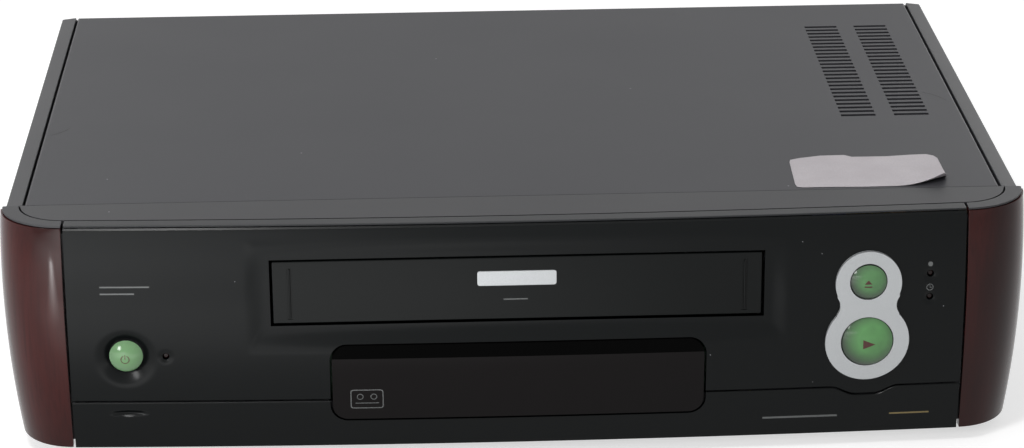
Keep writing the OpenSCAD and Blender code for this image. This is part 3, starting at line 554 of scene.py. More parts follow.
# %% Model the button surround
RING_X, RING_Z = EJECT[0] + 0.1, EJECT[1] - 0.9
PLAY_RING, EJECT_RING, NECK_HALF = 17.95, 14.1, 13.2
WAIST_OUT, WAIST_UP, WAIST_R = 18.5, 16.5, 6.5
SKIN_PROUD, SKIN_WALL, SKIN_ROUND = 1.7, 2.4, 0.9
bezel = rod("bezel", *PLAY, PLAY_RING, -165, -135, 160)
cut(bezel, rod("top_ring", RING_X, RING_Z, EJECT_RING, -165.5, -134.5, 160), "UNION")
neck_low, neck_high = PLAY[1] + 7.3, PLAY[1] + 21.3
neck = ((PLAY[0] - NECK_HALF, -164, neck_low), (PLAY[0] + NECK_HALF, -136, neck_high))
cut(bezel, block("neck", *neck), "UNION")
waist = [rod("waist", PLAY[0] + s * WAIST_OUT, PLAY[1] + WAIST_UP, WAIST_R) for s in (-1, 1)]
cut(bezel, join("waist", waist))
skin = upright_grid("skin", 128, 170, 30, 95, 40, 60)
lay(skin, lambda x, z: front_y(x, z) - SKIN_PROUD)
thicken(skin, SKIN_WALL)
cut(bezel, skin, "INTERSECT")
holes = [
    rod("play_hole", *PLAY, PLAY_HOLE, sides=128),
    rod("eject_hole", *EJECT, EJECT_HOLE, sides=128),
]
cut(bezel, join("holes", holes))
round_edges(bezel, SKIN_ROUND, 4)
smooth(bezel, 30)
dress(bezel, "case", "bezel_silver", "button_bezel")


# %% [markdown]
# Each round button is the cap of a large ball. The ball is cut by a plane, its open rim is
# pushed back to make the side wall, and the edge gets a small round.


# %% Model the round buttons
def dome(name, place, radius, crown_y, rise, back_y):
    ball = (radius**2 + rise**2) / (2 * rise)
    rim = (crown_y + rise) * MM
    clear()
    bpy.ops.mesh.primitive_uv_sphere_add(
        segments=96,
        ring_count=128,
        radius=ball * MM,
        location=(place[0] * MM, (crown_y + ball) * MM, place[1] * MM),
        rotation=(math.pi / 2, 0, 0),
    )
    piece = settle(take(name))
    all_of(piece)
    bpy.ops.mesh.bisect(plane_co=(0, rim, 0), plane_no=(0, 1, 0), clear_outer=True, use_fill=False)
    choose_edges(piece, lambda a, b: max(abs(a.y - rim), abs(b.y - rim)) < 1e-6)
    extrude_chosen(0, back_y * MM - rim, 0)
    bpy.ops.mesh.edge_face_add()
    return done(piece)


# place, radius, front of the crown, rise of the crown, back of the side wall
BUTTON_SHAPES = {
    "standby_button": (STANDBY, 7.05, -152.6, 2.8, -145.5),
    "eject_button": (EJECT, 7.75, -154.2, 2.4, -146),
    "play_button": (PLAY, 11.05, -155, 3.4, -145.3),
}
buttons = {}
for node, shape in BUTTON_SHAPES.items():
    buttons[node] = dome(node + "_cap", *shape)
    round_edges(buttons[node], 0.6, 3, 35)
    smooth(buttons[node], 40)
    dress(buttons[node], node, "button_green", node)


# %% [markdown]
# The symbols on the buttons are printed on their crowns: a triangle for play, an arrow over a
# bar for eject, and a broken ring with a stroke for standby. Each flat shape is trimmed to a skin
# a twentieth of a millimetre thick that hugs the dome, so it rides on the button as ink does.


# %% Model the symbols on the buttons
def on_dome(name, node, shapes):
    place, radius, crown_y, rise, back_y = BUTTON_SHAPES[node]
    ink = dome(name, place, radius, crown_y - 0.05, rise, back_y)
    cut(ink, dome("under", place, radius + 0.01, crown_y, rise, back_y + 1))
    cut(ink, join("shapes", shapes), "INTERSECT")
    return dress(ink, node, "button_green")


def triangle(name, x, z, width, height, roll):
    piece = rod(name, 0, 0, 1, sides=3, roll=roll)
    for axis, middle, size in ((0, x, width), (2, z, height)):
        values = [point.co[axis] for point in piece.data.vertices]
        low, high = min(values), max(values)
        for point, value in zip(piece.data.vertices, values):
            point.co[axis] = (middle + (value - low) / (high - low) * size - size / 2) * MM
    return piece


def ring(name, x, z, radius, line, sides=48):
    piece = rod(name, x, z, radius, sides=sides)
    return cut(piece, rod("middle", x, z, radius - line, NEAR - 1, FAR + 1, sides))


def bar(name, place, x0, x1, z0, z1, longer=0):
    low = (place[0] + x0, NEAR - longer, place[1] + z0)
    return block(name, low, (place[0] + x1, FAR + longer, place[1] + z1))


play_sign = triangle("play_sign", PLAY[0] + 0.5, PLAY[1] - 0.25, 5.2, 4.2, math.pi / 2)
eject_sign = [
    triangle("eject_sign", EJECT[0] - 0.4, EJECT[1] + 0.7, 3.2, 1.8, 0),
    bar("bar", EJECT, -2.0, 1.2, -1.7, -1.15),
]
standby_sign = ring("standby_sign", STANDBY[0] - 0.3, STANDBY[1] - 0.6, 1.9, 0.35)
cut(standby_sign, bar("gap", STANDBY, -1.0, 0.4, 0, 2, 2))
stroke = bar("stroke", STANDBY, -0.47, -0.13, -0.4, 1.5)
inks = [
    on_dome("play_symbol", "play_button", [play_sign]),
    on_dome("eject_symbol", "eject_button", eject_sign),
    on_dome("standby_symbol", "standby_button", [standby_sign, stroke]),
]

# %% [markdown]
# A lamp is a small clear rod with a domed tip, set back in its dimple. The three rods differ only
# in how far their tips reach forward, because the front leans back towards its top.

# %% Model the lamps
LENS_R, LENS_BACK = 1.4, -135
LENS_TIPS = (-148.6, -147.4, -148)
lenses = []
for (x, z), tip in zip(LAMPS, LENS_TIPS):
    lens = rod("lens", x, z, LENS_R, tip, LENS_BACK, 32)
    round_edges(lens, 0.8, 4)
    lenses.append(lens)
lenses = smooth(join("lenses", lenses), 40)
dress(lenses, "case", "lens_red", "indicator_lenses")


# %% [markdown]
# Print on the front is raised by a twentieth of a millimetre. A thin skin is laid on the surface
# and trimmed to the shapes. Only plain lines and pictograms are used: a dot for recording, a
# clock for the timer and a small cassette on the window.


# %% Model the print on the front
def print_on(name, area, depth, shapes):
    x0, x1, z0, z1 = area
    columns = max(4, int((x1 - x0) / 1.5))
    ink = upright_grid(name, x0, x1, z0, z1, columns, max(4, int((z1 - z0) / 1.5)))
    lay(ink, lambda x, z: depth(x, z) - 0.04)
    thicken(ink, 0.1)
    return cut(ink, join("shapes", shapes), "INTERSECT")


def line(x0, x1, z0, z1):
    return bar("line", (0, 0), x0, x1, z0, z1)


SIGN_X = 174.7
clock = [
    ring("clock", SIGN_X, 74.3, 1.5, 0.3),
    line(SIGN_X - 0.12, SIGN_X + 0.12, 74.5, 75.25),
    line(SIGN_X - 0.12, SIGN_X + 0.8, 74.1, 74.35),
]
record_dot = rod("dot", SIGN_X, 84.6, 1.05, sides=32)
fine_lines = [line(-175.4, -154.6, 81.6, 82.2), line(-175.4, -161, 78.6, 79.2)]
lamp_signs = print_on("lamp_signs", (171, 178.5, 71, 88), front_y, [record_dot] + clock)
left_lines = print_on("left_lines", (-178, -152, 76, 85), front_y, fine_lines)
flap_line = block("flap_line", (-6, DOOR_Y - 0.05, 72.6), (4.2, DOOR_Y + 0.1, 73.1))
silver_line = print_on("silver_line", (103, 139, 11, 20), front_y, [line(104.8, 138, 14.6, 15.5)])
gold_line = print_on("gold_line", (141, 179, 11, 20), front_y, [line(142.6, 177, 14.7, 15.4)])
frame_line = rounded_prism("frame_line", -71.5, -57.5, 25, 34, 1.2, segments=5)
cut(frame_line, rounded_prism("inner", -71.1, -57.9, 25.4, 33.6, 0.9, NEAR - 1, FAR + 1, 5))
cassette_lines = [frame_line, line(-69.5, -59.5, 27.4, 27.7)]
cassette_lines += [ring("reel", x, 30.6, 1.4, 0.3) for x in (-67.4, -61.6)]
cassette_sign = print_on("cassette_sign", (-73, -56, 24, 35), window_y, cassette_lines)
for ink in (lamp_signs, left_lines, cassette_sign):
    dress(ink, "case", "bezel_silver")
dress(flap_line, "cassette_flap", "bezel_silver")
for ink in (silver_line, gold_line):
    dress(ink, "control_flap", "bezel_silver")


# %% [markdown]
# The ledge along the top of the fascia is a flat strip that follows the front in plan. A grid is
# pulled onto the curve row by row and thickened.


# %% Model the ledge
LEDGE_IN, LEDGE_OUT, LEDGE_DEEP = 19.1, 25.5, 0.8


def plan_y(x, rho):
    if abs(x) <= CORNER_X:
        return CORNER_Y - rho - BOW * (1 - (x / CORNER_X) ** 2)
    return CORNER_Y - math.sqrt(rho * rho - (abs(x) - CORNER_X) ** 2)


clear()
bpy.ops.mesh.primitive_grid_add(x_subdivisions=120, y_subdivisions=6, size=1)
ledge = take("ledge")
ledge.scale = (2 * EDGE_X * MM, 1, 1)
settle(ledge)
for point in ledge.data.vertices:
    share = point.co.y + 0.5
    point.co.y = plan_y(point.co.x / MM, LEDGE_OUT - (LEDGE_OUT - LEDGE_IN) * share) * MM
    point.co.z = TOP * MM
thicken(ledge, LEDGE_DEEP)
round_edges(ledge, 0.35)
smooth(ledge, 40)
dress(ledge, "case", "ledge_plastic", "ledge_strip")


# %% [markdown]
# The cheeks are quarter turns of one upright profile. A narrow upright grid is bent to the
# profile and spun round the corner, and both ends are trimmed flat by bisect. Seen from the
# front the real cheek has its own belly, fullest above the middle and slim near the floor, so
# its width is stretched by a share that changes with the height. The caps on top of the cheeks
# are made in the same way from a flat profile. The upright edge at the back is rounded last.


# %% Model the cheeks and their caps
SIDE_FULL, SIDE_Z, SIDE_R = 29.5, 75, 462
CAP_WIDE = 1.08
SEAM_X = EDGE_X + 1
CHEEK_WALL, BACK_ROUND = 4.6, 2.4


def stretch_at(z):
    return (SIDE_FULL - (z - SIDE_Z) ** 2 / (2 * SIDE_R)) / (CORNER_R - belly(z))


def corner(name, side, low_rho, high_rho, z0, z1, rows, bent):
    clear()
    bpy.ops.mesh.primitive_grid_add(
        x_subdivisions=1, y_subdivisions=rows, size=1, rotation=(math.pi / 2, 0, 0)
    )
    piece = take(name)
    piece.scale = ((high_rho - low_rho) * MM, (z1 - z0) * MM, 1)
    middle_x = CORNER_X + (low_rho + high_rho) / 2
    piece.location = (side * middle_x * MM, CORNER_Y * MM, (z0 + z1) / 2 * MM)
    settle(piece)
    if bent:
        for point in piece.data.vertices:
            point.co.x -= side * belly(point.co.z / MM) * MM
    all_of(piece)
    bpy.ops.mesh.spin(
        steps=48,
        angle=math.pi / 2,
        center=(side * CORNER_X * MM, CORNER_Y * MM, 0),
        axis=(0, 0, side),
    )
    bpy.ops.mesh.select_all(action="SELECT")
    bpy.ops.mesh.remove_doubles(threshold=1e-6)
    bpy.ops.mesh.normals_make_consistent(inside=False)
    done(piece)
    for point in piece.data.vertices:
        share = stretch_at(point.co.z / MM) if bent else CAP_WIDE
        point.co.x = side * CORNER_X * MM + (point.co.x - side * CORNER_X * MM) * share
    all_of(piece)
    trims = (
        ((-side, 0, 0), (side * SEAM_X * MM, 0, 0)),
        ((0, 1, 0), (0, cheek_high[1] * MM, 0)),
    )
    for normal, place in trims:
        bpy.ops.mesh.select_all(action="SELECT")
        bpy.ops.mesh.bisect(plane_co=place, plane_no=normal, clear_outer=True, use_fill=True)
    turn_outwards()
    done(piece)
    back = cheek_high[1] * MM

    def outer_back_edge(a, b):
        at_back = max(abs(a.y - back), abs(b.y - back)) < 1e-5
        return at_back and min(abs(a.x), abs(b.x)) > middle_x * MM and abs(a.z - b.z) > 1e-4

    choose_edges(piece, outer_back_edge)
    bevel_chosen(BACK_ROUND, 5)
    return done(piece)


cheeks = []
for side, word in ((-1, "left"), (1, "right")):
    shell = (CORNER_R - CHEEK_WALL, CORNER_R, CHEEK_LOW, FRONT_TOP)
    cheek = corner(word + "_cheek_shell", side, *shell, 40, True)
    round_edges(cheek, 0.8, 1)
    smooth(cheek, 40)
    cheeks.append(dress(cheek, "case", "cheek_plastic", word + "_cheek"))
low_cap = TOP - LEDGE_DEEP
caps = [corner("cap", side, LEDGE_IN, LEDGE_OUT, low_cap, TOP, 1, False) for side in (-1, 1)]
caps = join("caps", caps)
round_edges(caps, 0.35)
smooth(caps, 40)
dress(caps, "case", "case_plastic", "corner_caps")

# %% [markdown]
# The cover is one sheet of steel. A flat plane is folded down at both sides and at the back by
# extruding its edges, the folds are rounded, and Solidify gives the sheet its thickness. The
# ventilation slots are cut last, each from the same small block.

# %% Model the cover
cover_low, cover_high = box_mm("top_cover")
FOLD, LIP, FOLD_ROUND, SHEET = 14, 12, 1.3, 0.8
VENT_X, VENT_LENGTH, VENT_PITCH, VENT_HALF = (153, 177.3), 15.9, 5.3, 1.3
VENT_Y = CORNER_Y + 95.4
VENT_COUNT = 26
clear()
middle = [(a + b) / 2 * MM for a, b in zip(cover_low, cover_high)]
bpy.ops.mesh.primitive_plane_add(size=1, location=(*middle[:2], TOP * MM))
cover = take("cover")
cover.scale = ((cover_high[0] - cover_low[0]) * MM, (cover_high[1] - cover_low[1]) * MM, 1)
settle(cover)
folds = ((0, cover_low[0], FOLD), (0, cover_high[0], FOLD), (1, cover_high[1], LIP))
for axis, place, drop in folds:

    def on_fold(a, b):
        near_fold = max(abs(a[axis] - place * MM), abs(b[axis] - place * MM)) < 1e-5
        return near_fold and min(a.z, b.z) > (TOP - 1) * MM

    choose_edges(cover, on_fold)
    extrude_chosen(0, 0, -drop * MM)
done(cover)


def round_fold(a, b):
    return min(a.z, b.z) > (TOP - 0.1) * MM and max(a.y, b.y) > (cover_low[1] + 1) * MM


choose_edges(cover, round_fold)
bevel_chosen(FOLD_ROUND, 5)
done(cover)
thicken(cover, SHEET)
slots = [
    block(
        "vent",
        (x, VENT_Y + VENT_PITCH * i - VENT_HALF, TOP - 8),
        (x + VENT_LENGTH, VENT_Y + VENT_PITCH * i + VENT_HALF, TOP + 4),
    )
    for x in VENT_X
    for i in range(VENT_COUNT)
]
cut(cover, join("vents", slots))
smooth(cover, 40)
dress(cover, "case", "cover_metal", "top_cover")


# %% [markdown]
# A paper sticker lies on the cover at the right. Nothing is written on it. Its far edge is torn
# in a wave, and its near right corner has come loose and curls up. A fine grid is trimmed to the
# outline, and then the corner is lifted by moving its points.


# %% Model the paper sticker
STICKER = [
    (122, -85), (122.6, -82), (127, -79.8), (136.4, -77.2), (147, -77.1), (150, -79.7),
    (165.4, -79.6), (176, -78.4), (182.9, -78), (186, -80), (187.3, -83.3), (187.6, -104.5),
    (187.6, -114), (186.6, -116.4), (184, -117), (152, -116.8), (124, -116.2), (121.6, -115.2),
    (121.1, -112),
]
CURL_LENGTH, CURL_HEIGHT, CURL_ACROSS, CURL_BACK = 13, 4.2, 1.5, 5.5
PAPER_THICK = 0.16
clear()
bpy.ops.mesh.primitive_grid_add(
    x_subdivisions=68, y_subdivisions=42, size=1, location=(154.5 * MM, -97 * MM, TOP * MM)
)
sticker = take("sticker")
sticker.scale = (70 * MM, 43 * MM, 1)
settle(sticker)
thicken(sticker, PAPER_THICK, 1)
cut(sticker, flat_prism("outline", STICKER, TOP - 1, TOP + 1), "INTERSECT")
for point, x, y, z in places(sticker):
    inward = ((187.6 - x) + 1.6 * (y + 117)) / 1.9
    lift = max(0.0, 1 - inward / CURL_LENGTH) ** 2 * MM
    point.co.z += CURL_HEIGHT * lift
    point.co.x -= CURL_ACROSS * lift
    point.co.y += CURL_BACK * lift
    point.co.z += (0.05 + 0.05 * math.sin(x / 5) * math.sin(y / 4)) * MM
smooth(sticker, 40)
dress(sticker, "case", "cover_metal")


# %% [markdown]
# Years of use left marks on the cover: two short curved scratches and a few pale specks. A
# scratch is a thin bent strip, and a speck is a small flattened ball. They are kept few and fine.


# %% Model the scratches and specks
def scratch(start, end, sag, width):
    clear()
    bpy.ops.mesh.primitive_grid_add(x_subdivisions=16, y_subdivisions=1, size=1)
    piece = take("scratch")
    along = Vector(end) - Vector(start)
    across = Vector((-along.y, along.x)).normalized()
    for point in piece.data.vertices:
        t = point.co.x + 0.5
        half = width * math.sin(math.pi * t) * point.co.y
        place = Vector(start) + along * t + across * (half + sag * 4 * t * (1 - t))
        point.co = Vector((place.x, place.y, TOP + 0.01)) * MM
    return thicken(piece, 0.02, 1)


scratches = [
    scratch((-206.3, -30.4), (-196.9, -19.6), -1.3, 0.7),
    scratch((195.0, 6.9), (204.2, -5.1), 1.2, 0.6),
]
scratches = join("scratches", scratches)
dress(scratches, "case", "cover_metal")


def speck(place, size):
    clear()
    bpy.ops.mesh.primitive_ico_sphere_add(subdivisions=1, radius=1, location=Vector(place) * MM)
    piece = take("speck")
    piece.scale = [s * MM for s in size]
    return settle(piece)


COVER_SPECKS = [(-175.4, -88.7), (118, -113.8), (-171.6, -128.6), (-92, -60), (60, 20), (-30, 70)]
FRONT_SPECKS = [(120, 96.1), (128.3, 90.7), (81.6, 46.4), (125.9, 31.9), (180.8, 65.5)]
FRONT_SPECKS += [(-118.6, 84)]
specks = [speck((x, y, TOP), (0.45, 0.35, 0.06)) for x, y in COVER_SPECKS]
specks += [speck((x, fascia_y(x, z), z), (0.22, 0.05, 0.22)) for x, z in FRONT_SPECKS]
specks = join("specks", specks)
dress(specks, "case", "cover_metal")


# %% [markdown]
# The other CAD nodes have the right shape but knife-sharp edges. A copy of each outer one is
# merged into one mesh and gets a fine round along its edges. The rails at the top of the side
# panels also slope down a little towards the outside, and the front edge of the brow is moved
# back to leave an even seam before the ledge.


# %% Soften the outer nodes
RAIL_SLOPE, BROW_SEAM = 0.8, 0.7


def brow_back(point):
    x, y, z = (v / MM for v in point.co)
    if z < TOP - 3 or y > CORNER_Y - 1:
        return
    out = max(0.0, abs(x) - CORNER_X)
    bow = BOW * (1 - (min(abs(x), CORNER_X) / CORNER_X) ** 2)
    rho = math.hypot(out, CORNER_Y - bow - y)
    if rho > LEDGE_IN - 0.5:
        share = (LEDGE_IN - BROW_SEAM) / rho
        point.co.y = (CORNER_Y - bow - (CORNER_Y - bow - y) * share) * MM
        point.co.x = math.copysign(abs(x) - out + out * share * CAP_WIDE, x) * MM


def soften(node, width):
    clear()
    piece = nodes[node].copy()
    piece.data = nodes[node].data.copy()
    scene.collection.objects.link(piece)
    for key in list(piece.keys()):
        if key.startswith("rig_"):
            del piece[key]
    piece.parent = None
    piece.matrix_world = Matrix.Identity(4)
    piece.name = "soft_" + node
    all_of(piece)
    bpy.ops.mesh.remove_doubles(threshold=1e-6)
    bpy.ops.mesh.dissolve_limited(angle_limit=math.radians(1))
    done(piece)
    if node.endswith("side_panel"):
        for point in piece.data.vertices:
            if point.co.z > (TOP - 0.1) * MM and abs(point.co.x) > (cheek_high[0] - 4) * MM:
                point.co.z -= RAIL_SLOPE * MM
    if node == "front_frame":
        for point in piece.data.vertices:
            brow_back(point)
    round_edges(piece, width, 2, 40)
    return smooth(piece, 40)


SOFTENED = {"left_side_panel": 0.9, "right_side_panel": 0.9, "front_frame": 0.3}
SOFTENED |= {"rear_panel": 0.2, "feet": 0.8, "cover_screws": 0.2}
SOFTENED |= dict.fromkeys(("scart_sockets", "aerial_sockets", "audio_sockets", "mains_inlet"), 0.3)
SOFTENED |= dict.fromkeys(("rewind_key", "stop_key", "forward_key", "record_key"), 0.5)
SOFTENED |= {"channel_rocker": 0.5, "front_av_sockets": 0.3}
node_slot = {entry["node"]: entry["material_slot"] for entry in frame["record"]["subparts"]}
softened = {}
for node, width in SOFTENED.items():
    body = body_of(nodes[node])[0]
    softened[node] = soften(node, width)
    dress(softened[node], body, node_slot[node], node)


# %% [markdown]
# Finishes. Each is built from nodes that read Object coordinates, in metres, so a pattern keeps
# its scale on every piece. Two helpers add a node and fill its sockets, with a value or a link.
# The others start a finish and keep it under its name, make soft noise, turn noise into a range
# or a colour, and press it into the surface as fine relief.


# %% Helpers for finishes
finishes = {}


def fill(tree, node, sockets):
    for name, value in sockets.items():
        if isinstance(value, bpy.types.NodeSocket):
            tree.links.new(value, node.inputs[name])
        else:
            node.inputs[name].default_value = value


def add_node(tree, kind, sockets, **settings):
    node = tree.nodes.new("ShaderNode" + kind)
    for key, value in settings.items():
        setattr(node, key, value)
    fill(tree, node, sockets)
    return node.outputs


def new_finish(name, color, roughness, specular=0.5):
    finish = bpy.data.materials.new(name)
    finish.use_nodes = True
    finishes[name] = finish
    tree = finish.node_tree
    shader = tree.nodes["Principled BSDF"]
    values = {"Base Color": (*color, 1), "Roughness": roughness, "Specular IOR Level": specular}
    fill(tree, shader, values)
    return tree, shader, add_node(tree, "TexCoord", {})["Object"]


def moved(tree, place, stretch, shift=(0, 0, 0)):
    sockets = {"Vector": place, "Location": [s * MM for s in shift], "Scale": stretch}
    return add_node(tree, "Mapping", sockets)["Vector"]


def clouds(tree, place, scale, detail=2.0):
    return add_node(tree, "TexNoise", {"Vector": place, "Scale": scale, "Detail": detail})["Fac"]


def between(tree, value, low, high, from_low=0.3, from_high=0.7):
    limits = {"From Min": from_low, "From Max": from_high, "To Min": low, "To Max": high}
    return add_node(tree, "MapRange", limits | {"Value": value})["Result"]


def blend_colors(tree, value, first, second):
    sockets = {"Factor": value}
    for socket, color in (("A", first), ("B", second)):
        sockets[socket] = (*color, 1) if isinstance(color, tuple) else color
    return add_node(tree, "Mix", sockets, data_type="RGBA")["Result"]


def combine(tree, operation, first, second):
    return add_node(tree, "Math", {0: first, 1: second}, operation=operation)["Value"]


def relief(tree, shader, value, depth):
    sockets = {"Strength": 0.6, "Distance": depth * MM, "Height": value}
    fill(tree, shader, {"Normal": add_node(tree, "Bump", sockets)["Normal"]})


def reach_from(tree, place, centre):
    flat = moved(tree, place, (1, 0, 1), (-centre[0], 0, -centre[1]))
    return add_node(tree, "VectorMath", {0: flat}, operation="LENGTH")["Value"]


def paint(piece, name):
    piece.data.materials.clear()
    piece.data.materials.append(finishes[name])


# %% [markdown]
# Most of the machine is moulded plastic, painted sheet or plain metal. One recipe covers them:
# the colour drifts slowly by a few percent, the gloss drifts with it, and a fine grain is pressed
# into the surface. Each finish sets its own colour, roughness, specular level, grain per metre
# and depth of grain in millimetres, and some set the drift and the metal too. The black front has
# a thin glossy coat over its dull grain.


# %% Moulded and painted finishes
def moulded(
    name, color, roughness, specular, grain=1500, depth=0.02, vary=0.06, drift=0.07, metallic=0
):
    tree, shader, place = new_finish(name, color, roughness, specular)
    slow = clouds(tree, place, 14, 3)
    darker = tuple(c * (1 - vary) for c in color)
    lighter = tuple(min(1, c * (1 + vary)) for c in color)
    sockets = {
        "Metallic": metallic,
        "Base Color": blend_colors(tree, between(tree, slow, 0, 1), darker, lighter),
        "Roughness": between(tree, slow, roughness * (1 - drift), roughness * (1 + drift)),
    }
    fill(tree, shader, sockets)
    relief(tree, shader, clouds(tree, place, grain, 2), depth)
    return shader


moulded("cover_paint", (0.0265, 0.0265, 0.031), 0.5, 0.3, 2200, 0.015, 0.012, 0.02)
moulded("case_grey", (0.027, 0.027, 0.03), 0.48, 0.3, 2600, 0.02, 0.02, 0.03)
moulded("ledge_grey", (0.0145, 0.0155, 0.0172), 0.42, 0.25, 2600, 0.015, 0.03)
moulded("window_black", (0.0042, 0.0032, 0.0034), 0.12, 0.1, 800, 0.0008)
# painted dark reflection: the window's top bevel is darker and less reflecting than the rest
moulded("window_edge", (0.0012, 0.0012, 0.0012), 0.08, 0.02, 800, 0.001)
moulded("lens_red", (0.008, 0.002, 0.002), 0.08, 0.2, 800, 0.001)
moulded("rubber", (0.012, 0.012, 0.012), 0.7, 0.3, 1500, 0.05)
moulded("rear_black", (0.018, 0.018, 0.02), 0.5, 0.4, 2200, 0.02)
moulded("socket_black", (0.012, 0.012, 0.013), 0.42, 0.45, 2600, 0.02)
moulded("key_black", (0.02, 0.021, 0.023), 0.42, 0.45)
moulded("record_red", (0.2, 0.02, 0.02), 0.45, 0.4)
moulded("socket_yellow", (0.5, 0.4, 0.05), 0.35, 0.5)
moulded("print_grey", (0.13, 0.135, 0.135), 0.5, 0.2, 3000, 0.002)
moulded("print_gold", (0.2, 0.15, 0.06), 0.4, 0.4, 3000, 0.002)
moulded("ink_brown", (0.075, 0.03, 0.025), 0.4, 0.3, 3000, 0.001)
moulded("scratch_dark", (0.008, 0.008, 0.01), 0.5, 0.3, 3000, 0.002)
moulded("speck_pale", (0.28, 0.28, 0.3), 0.7, 0.2, 3000, 0.002)
moulded("board_green", (0.03, 0.13, 0.06), 0.4, 0.5, 900)
moulded("board_brown", (0.25, 0.15, 0.07), 0.5, 0.4, 900)
moulded("display_glass", (0.01, 0.015, 0.014), 0.1, 0.5)
moulded("transformer_tape", (0.5, 0.36, 0.06), 0.45, 0.4)
moulded("capacitor_sleeve", (0.02, 0.04, 0.2), 0.3, 0.5)
moulded("gear_white", (0.62, 0.6, 0.54), 0.4, 0.5, 1200, 0.01, 0.05)
moulded("steel", (0.45, 0.46, 0.48), 0.35, 0.5, 1800, 0.01, 0.08, metallic=1)
moulded("brass", (0.6, 0.42, 0.12), 0.3, 0.5, 1800, 0.01, 0.08, metallic=1)
moulded("drum_aluminium", (0.7, 0.71, 0.73), 0.22, 0.5, 1800, 0.005, 0.05, metallic=1)
front_blacks = (
    moulded("fascia_black", (0.0014, 0.0021, 0.0023), 0.4, 0.07, 3000, 0.003),
    moulded("flap_black", (0.0026, 0.0034, 0.0034), 0.4, 0.07, 3000, 0.004),
)
for shader in front_blacks:
    shader.inputs["Coat Weight"].default_value = 0.14
    shader.inputs["Coat Roughness"].default_value = 0.2
print("finishes so far:", len(finishes))


# %% [markdown]
# The cheeks look like dark red lacquer over fine upright grain. Noise stretched along the height
# gives the grain, a second slow noise makes long lighter and darker clouds, and a clear coat on
# top gives the sharp gloss.


# %% Lacquered cheeks
def lacquer(name, dark, light):
    tree, shader, place = new_finish(name, light, 0.4, 0.02)
    grain = clouds(tree, moved(tree, place, (1, 1, 0.035)), 900, 3)
    slow = clouds(tree, moved(tree, place, (1, 1, 0.3)), 40, 2)
    tinted = blend_colors(tree, between(tree, slow, 0, 1), dark, light)
    streaked = blend_colors(tree, between(tree, grain, 0.0, 0.5, 0.45, 0.75), tinted, dark)
    coat = {"Coat Weight": 0.65, "Coat Roughness": 0.09, "Coat IOR": 1.34}
    fill(tree, shader, coat | {"Base Color": streaked})
    relief(tree, shader, grain, 0.002)


lacquer("cheek_red", (0.0135, 0.0024, 0.0023), (0.041, 0.0057, 0.0047))

# %% [markdown]
# The smoked window is black with a trace of red, and polished. Its broad top bevel would mirror a
# dark room above, which the scene does not have, so those faces get a second finish that is darker
# and reflects less: a painted dark reflection.

# %% Smoked window
paint(window, "window_black")
# the bevel faces take the second finish, a painted dark reflection
window.data.materials.append(finishes["window_edge"])
bevelled = 0
for face in window.data.polygons:
    if face.center.z > (BEVEL_Z + 0.1) * MM and face.normal.y < -0.2:
        face.material_index = 1
        bevelled += 1
print("window faces on the bevel:", bevelled)


# %% [markdown]
# The surround is silver paint with fine flakes. Small cells of noise tilt its gloss a little, and
# the paint is only partly metallic.


# %% Silver paint
def flake_paint(name, color, roughness):
    tree, shader, place = new_finish(name, color, roughness)
    flakes = clouds(tree, place, 4200, 1)
    duller = tuple(c * 0.86 for c in color)
    sockets = {
        "Metallic": 0.55,
        "Base Color": blend_colors(tree, between(tree, flakes, 0, 1), duller, color),
        "Roughness": between(tree, flakes, roughness * 0.8, roughness * 1.2),
    }
    fill(tree, shader, sockets)
    relief(tree, shader, flakes, 0.003)


flake_paint("bezel_paint", (0.465, 0.48, 0.49), 0.36)


# %% [markdown]
# The buttons are clear green caps over a lighter core, so they are deeper in colour towards the
# rim. The distance from a point a little up and to the right of the middle of each button drives a
# ramp from the core's colour to the rim's, so the lower left of the rim is darker still: that part
# is painted shade. Each button has its own finish, centred near it.


# %% Green buttons
def glassy_with_painted_shade(name, node, core, rim):
    centre, radius = BUTTON_SHAPES[node][:2]
    tree, shader, place = new_finish(name, core, 0.1, 0.2)
    # the ramp's middle sits up and to the right of the button's, so the lower left of the rim is
    # painted darker: painted shade
    reach = reach_from(tree, place, (centre[0] + radius * 0.2, centre[1] + radius * 0.15))
    share = between(tree, reach, 0, 1, radius * 0.55 * MM, radius * 1.15 * MM)
    rim_depth_and_painted_shade = blend_colors(tree, share, core, rim)
    haze = clouds(tree, place, 160, 3)
    sockets = {
        "Base Color": blend_colors(tree, between(tree, haze, 0, 0.25), rim_depth_and_painted_shade, rim),
        "Roughness": between(tree, haze, 0.08, 0.14),
        "Coat Weight": 0.25,
        "Coat Roughness": 0.03,
    }
    fill(tree, shader, sockets)
    paint(buttons[node], name)


# rim colours: the cap's deeper green, and on the lower left painted shade as well
glassy_with_painted_shade("standby_green", "standby_button", (0.13, 0.255, 0.117), (0.11, 0.21, 0.103))
glassy_with_painted_shade("eject_green", "eject_button", (0.105, 0.26, 0.1), (0.05, 0.065, 0.05))
glassy_with_painted_shade("play_green", "play_button", (0.115, 0.31, 0.105), (0.05, 0.07, 0.05))


# %% [markdown]
# Paper is pale and dull, with faint fibres and a slight unevenness of tone.


# %% Paper
def paper(name):
    tree, shader, place = new_finish(name, (0.46, 0.44, 0.46), 0.75, 0.2)
    fibres = clouds(tree, moved(tree, place, (1, 0.3, 1)), 1600, 3)
    slow = between(tree, clouds(tree, place, 60, 2), 0, 1)
    tone = blend_colors(tree, slow, (0.49, 0.46, 0.48), (0.55, 0.52, 0.54))
    color = blend_colors(tree, between(tree, fibres, 0, 0.3), tone, (0.4, 0.37, 0.39))
    fill(tree, shader, {"Base Color": color})
    relief(tree, shader, fibres, 0.01)


paper("sticker_paper")

# %% [markdown]
# Every node that keeps its CAD shape takes the finish of its slot in the record, and so do the
# softened copies. The list gives the slots whose finish has another name. A slot with no finish
# at all is bare steel, as most of the mechanism is. The modelled pieces are painted by name.

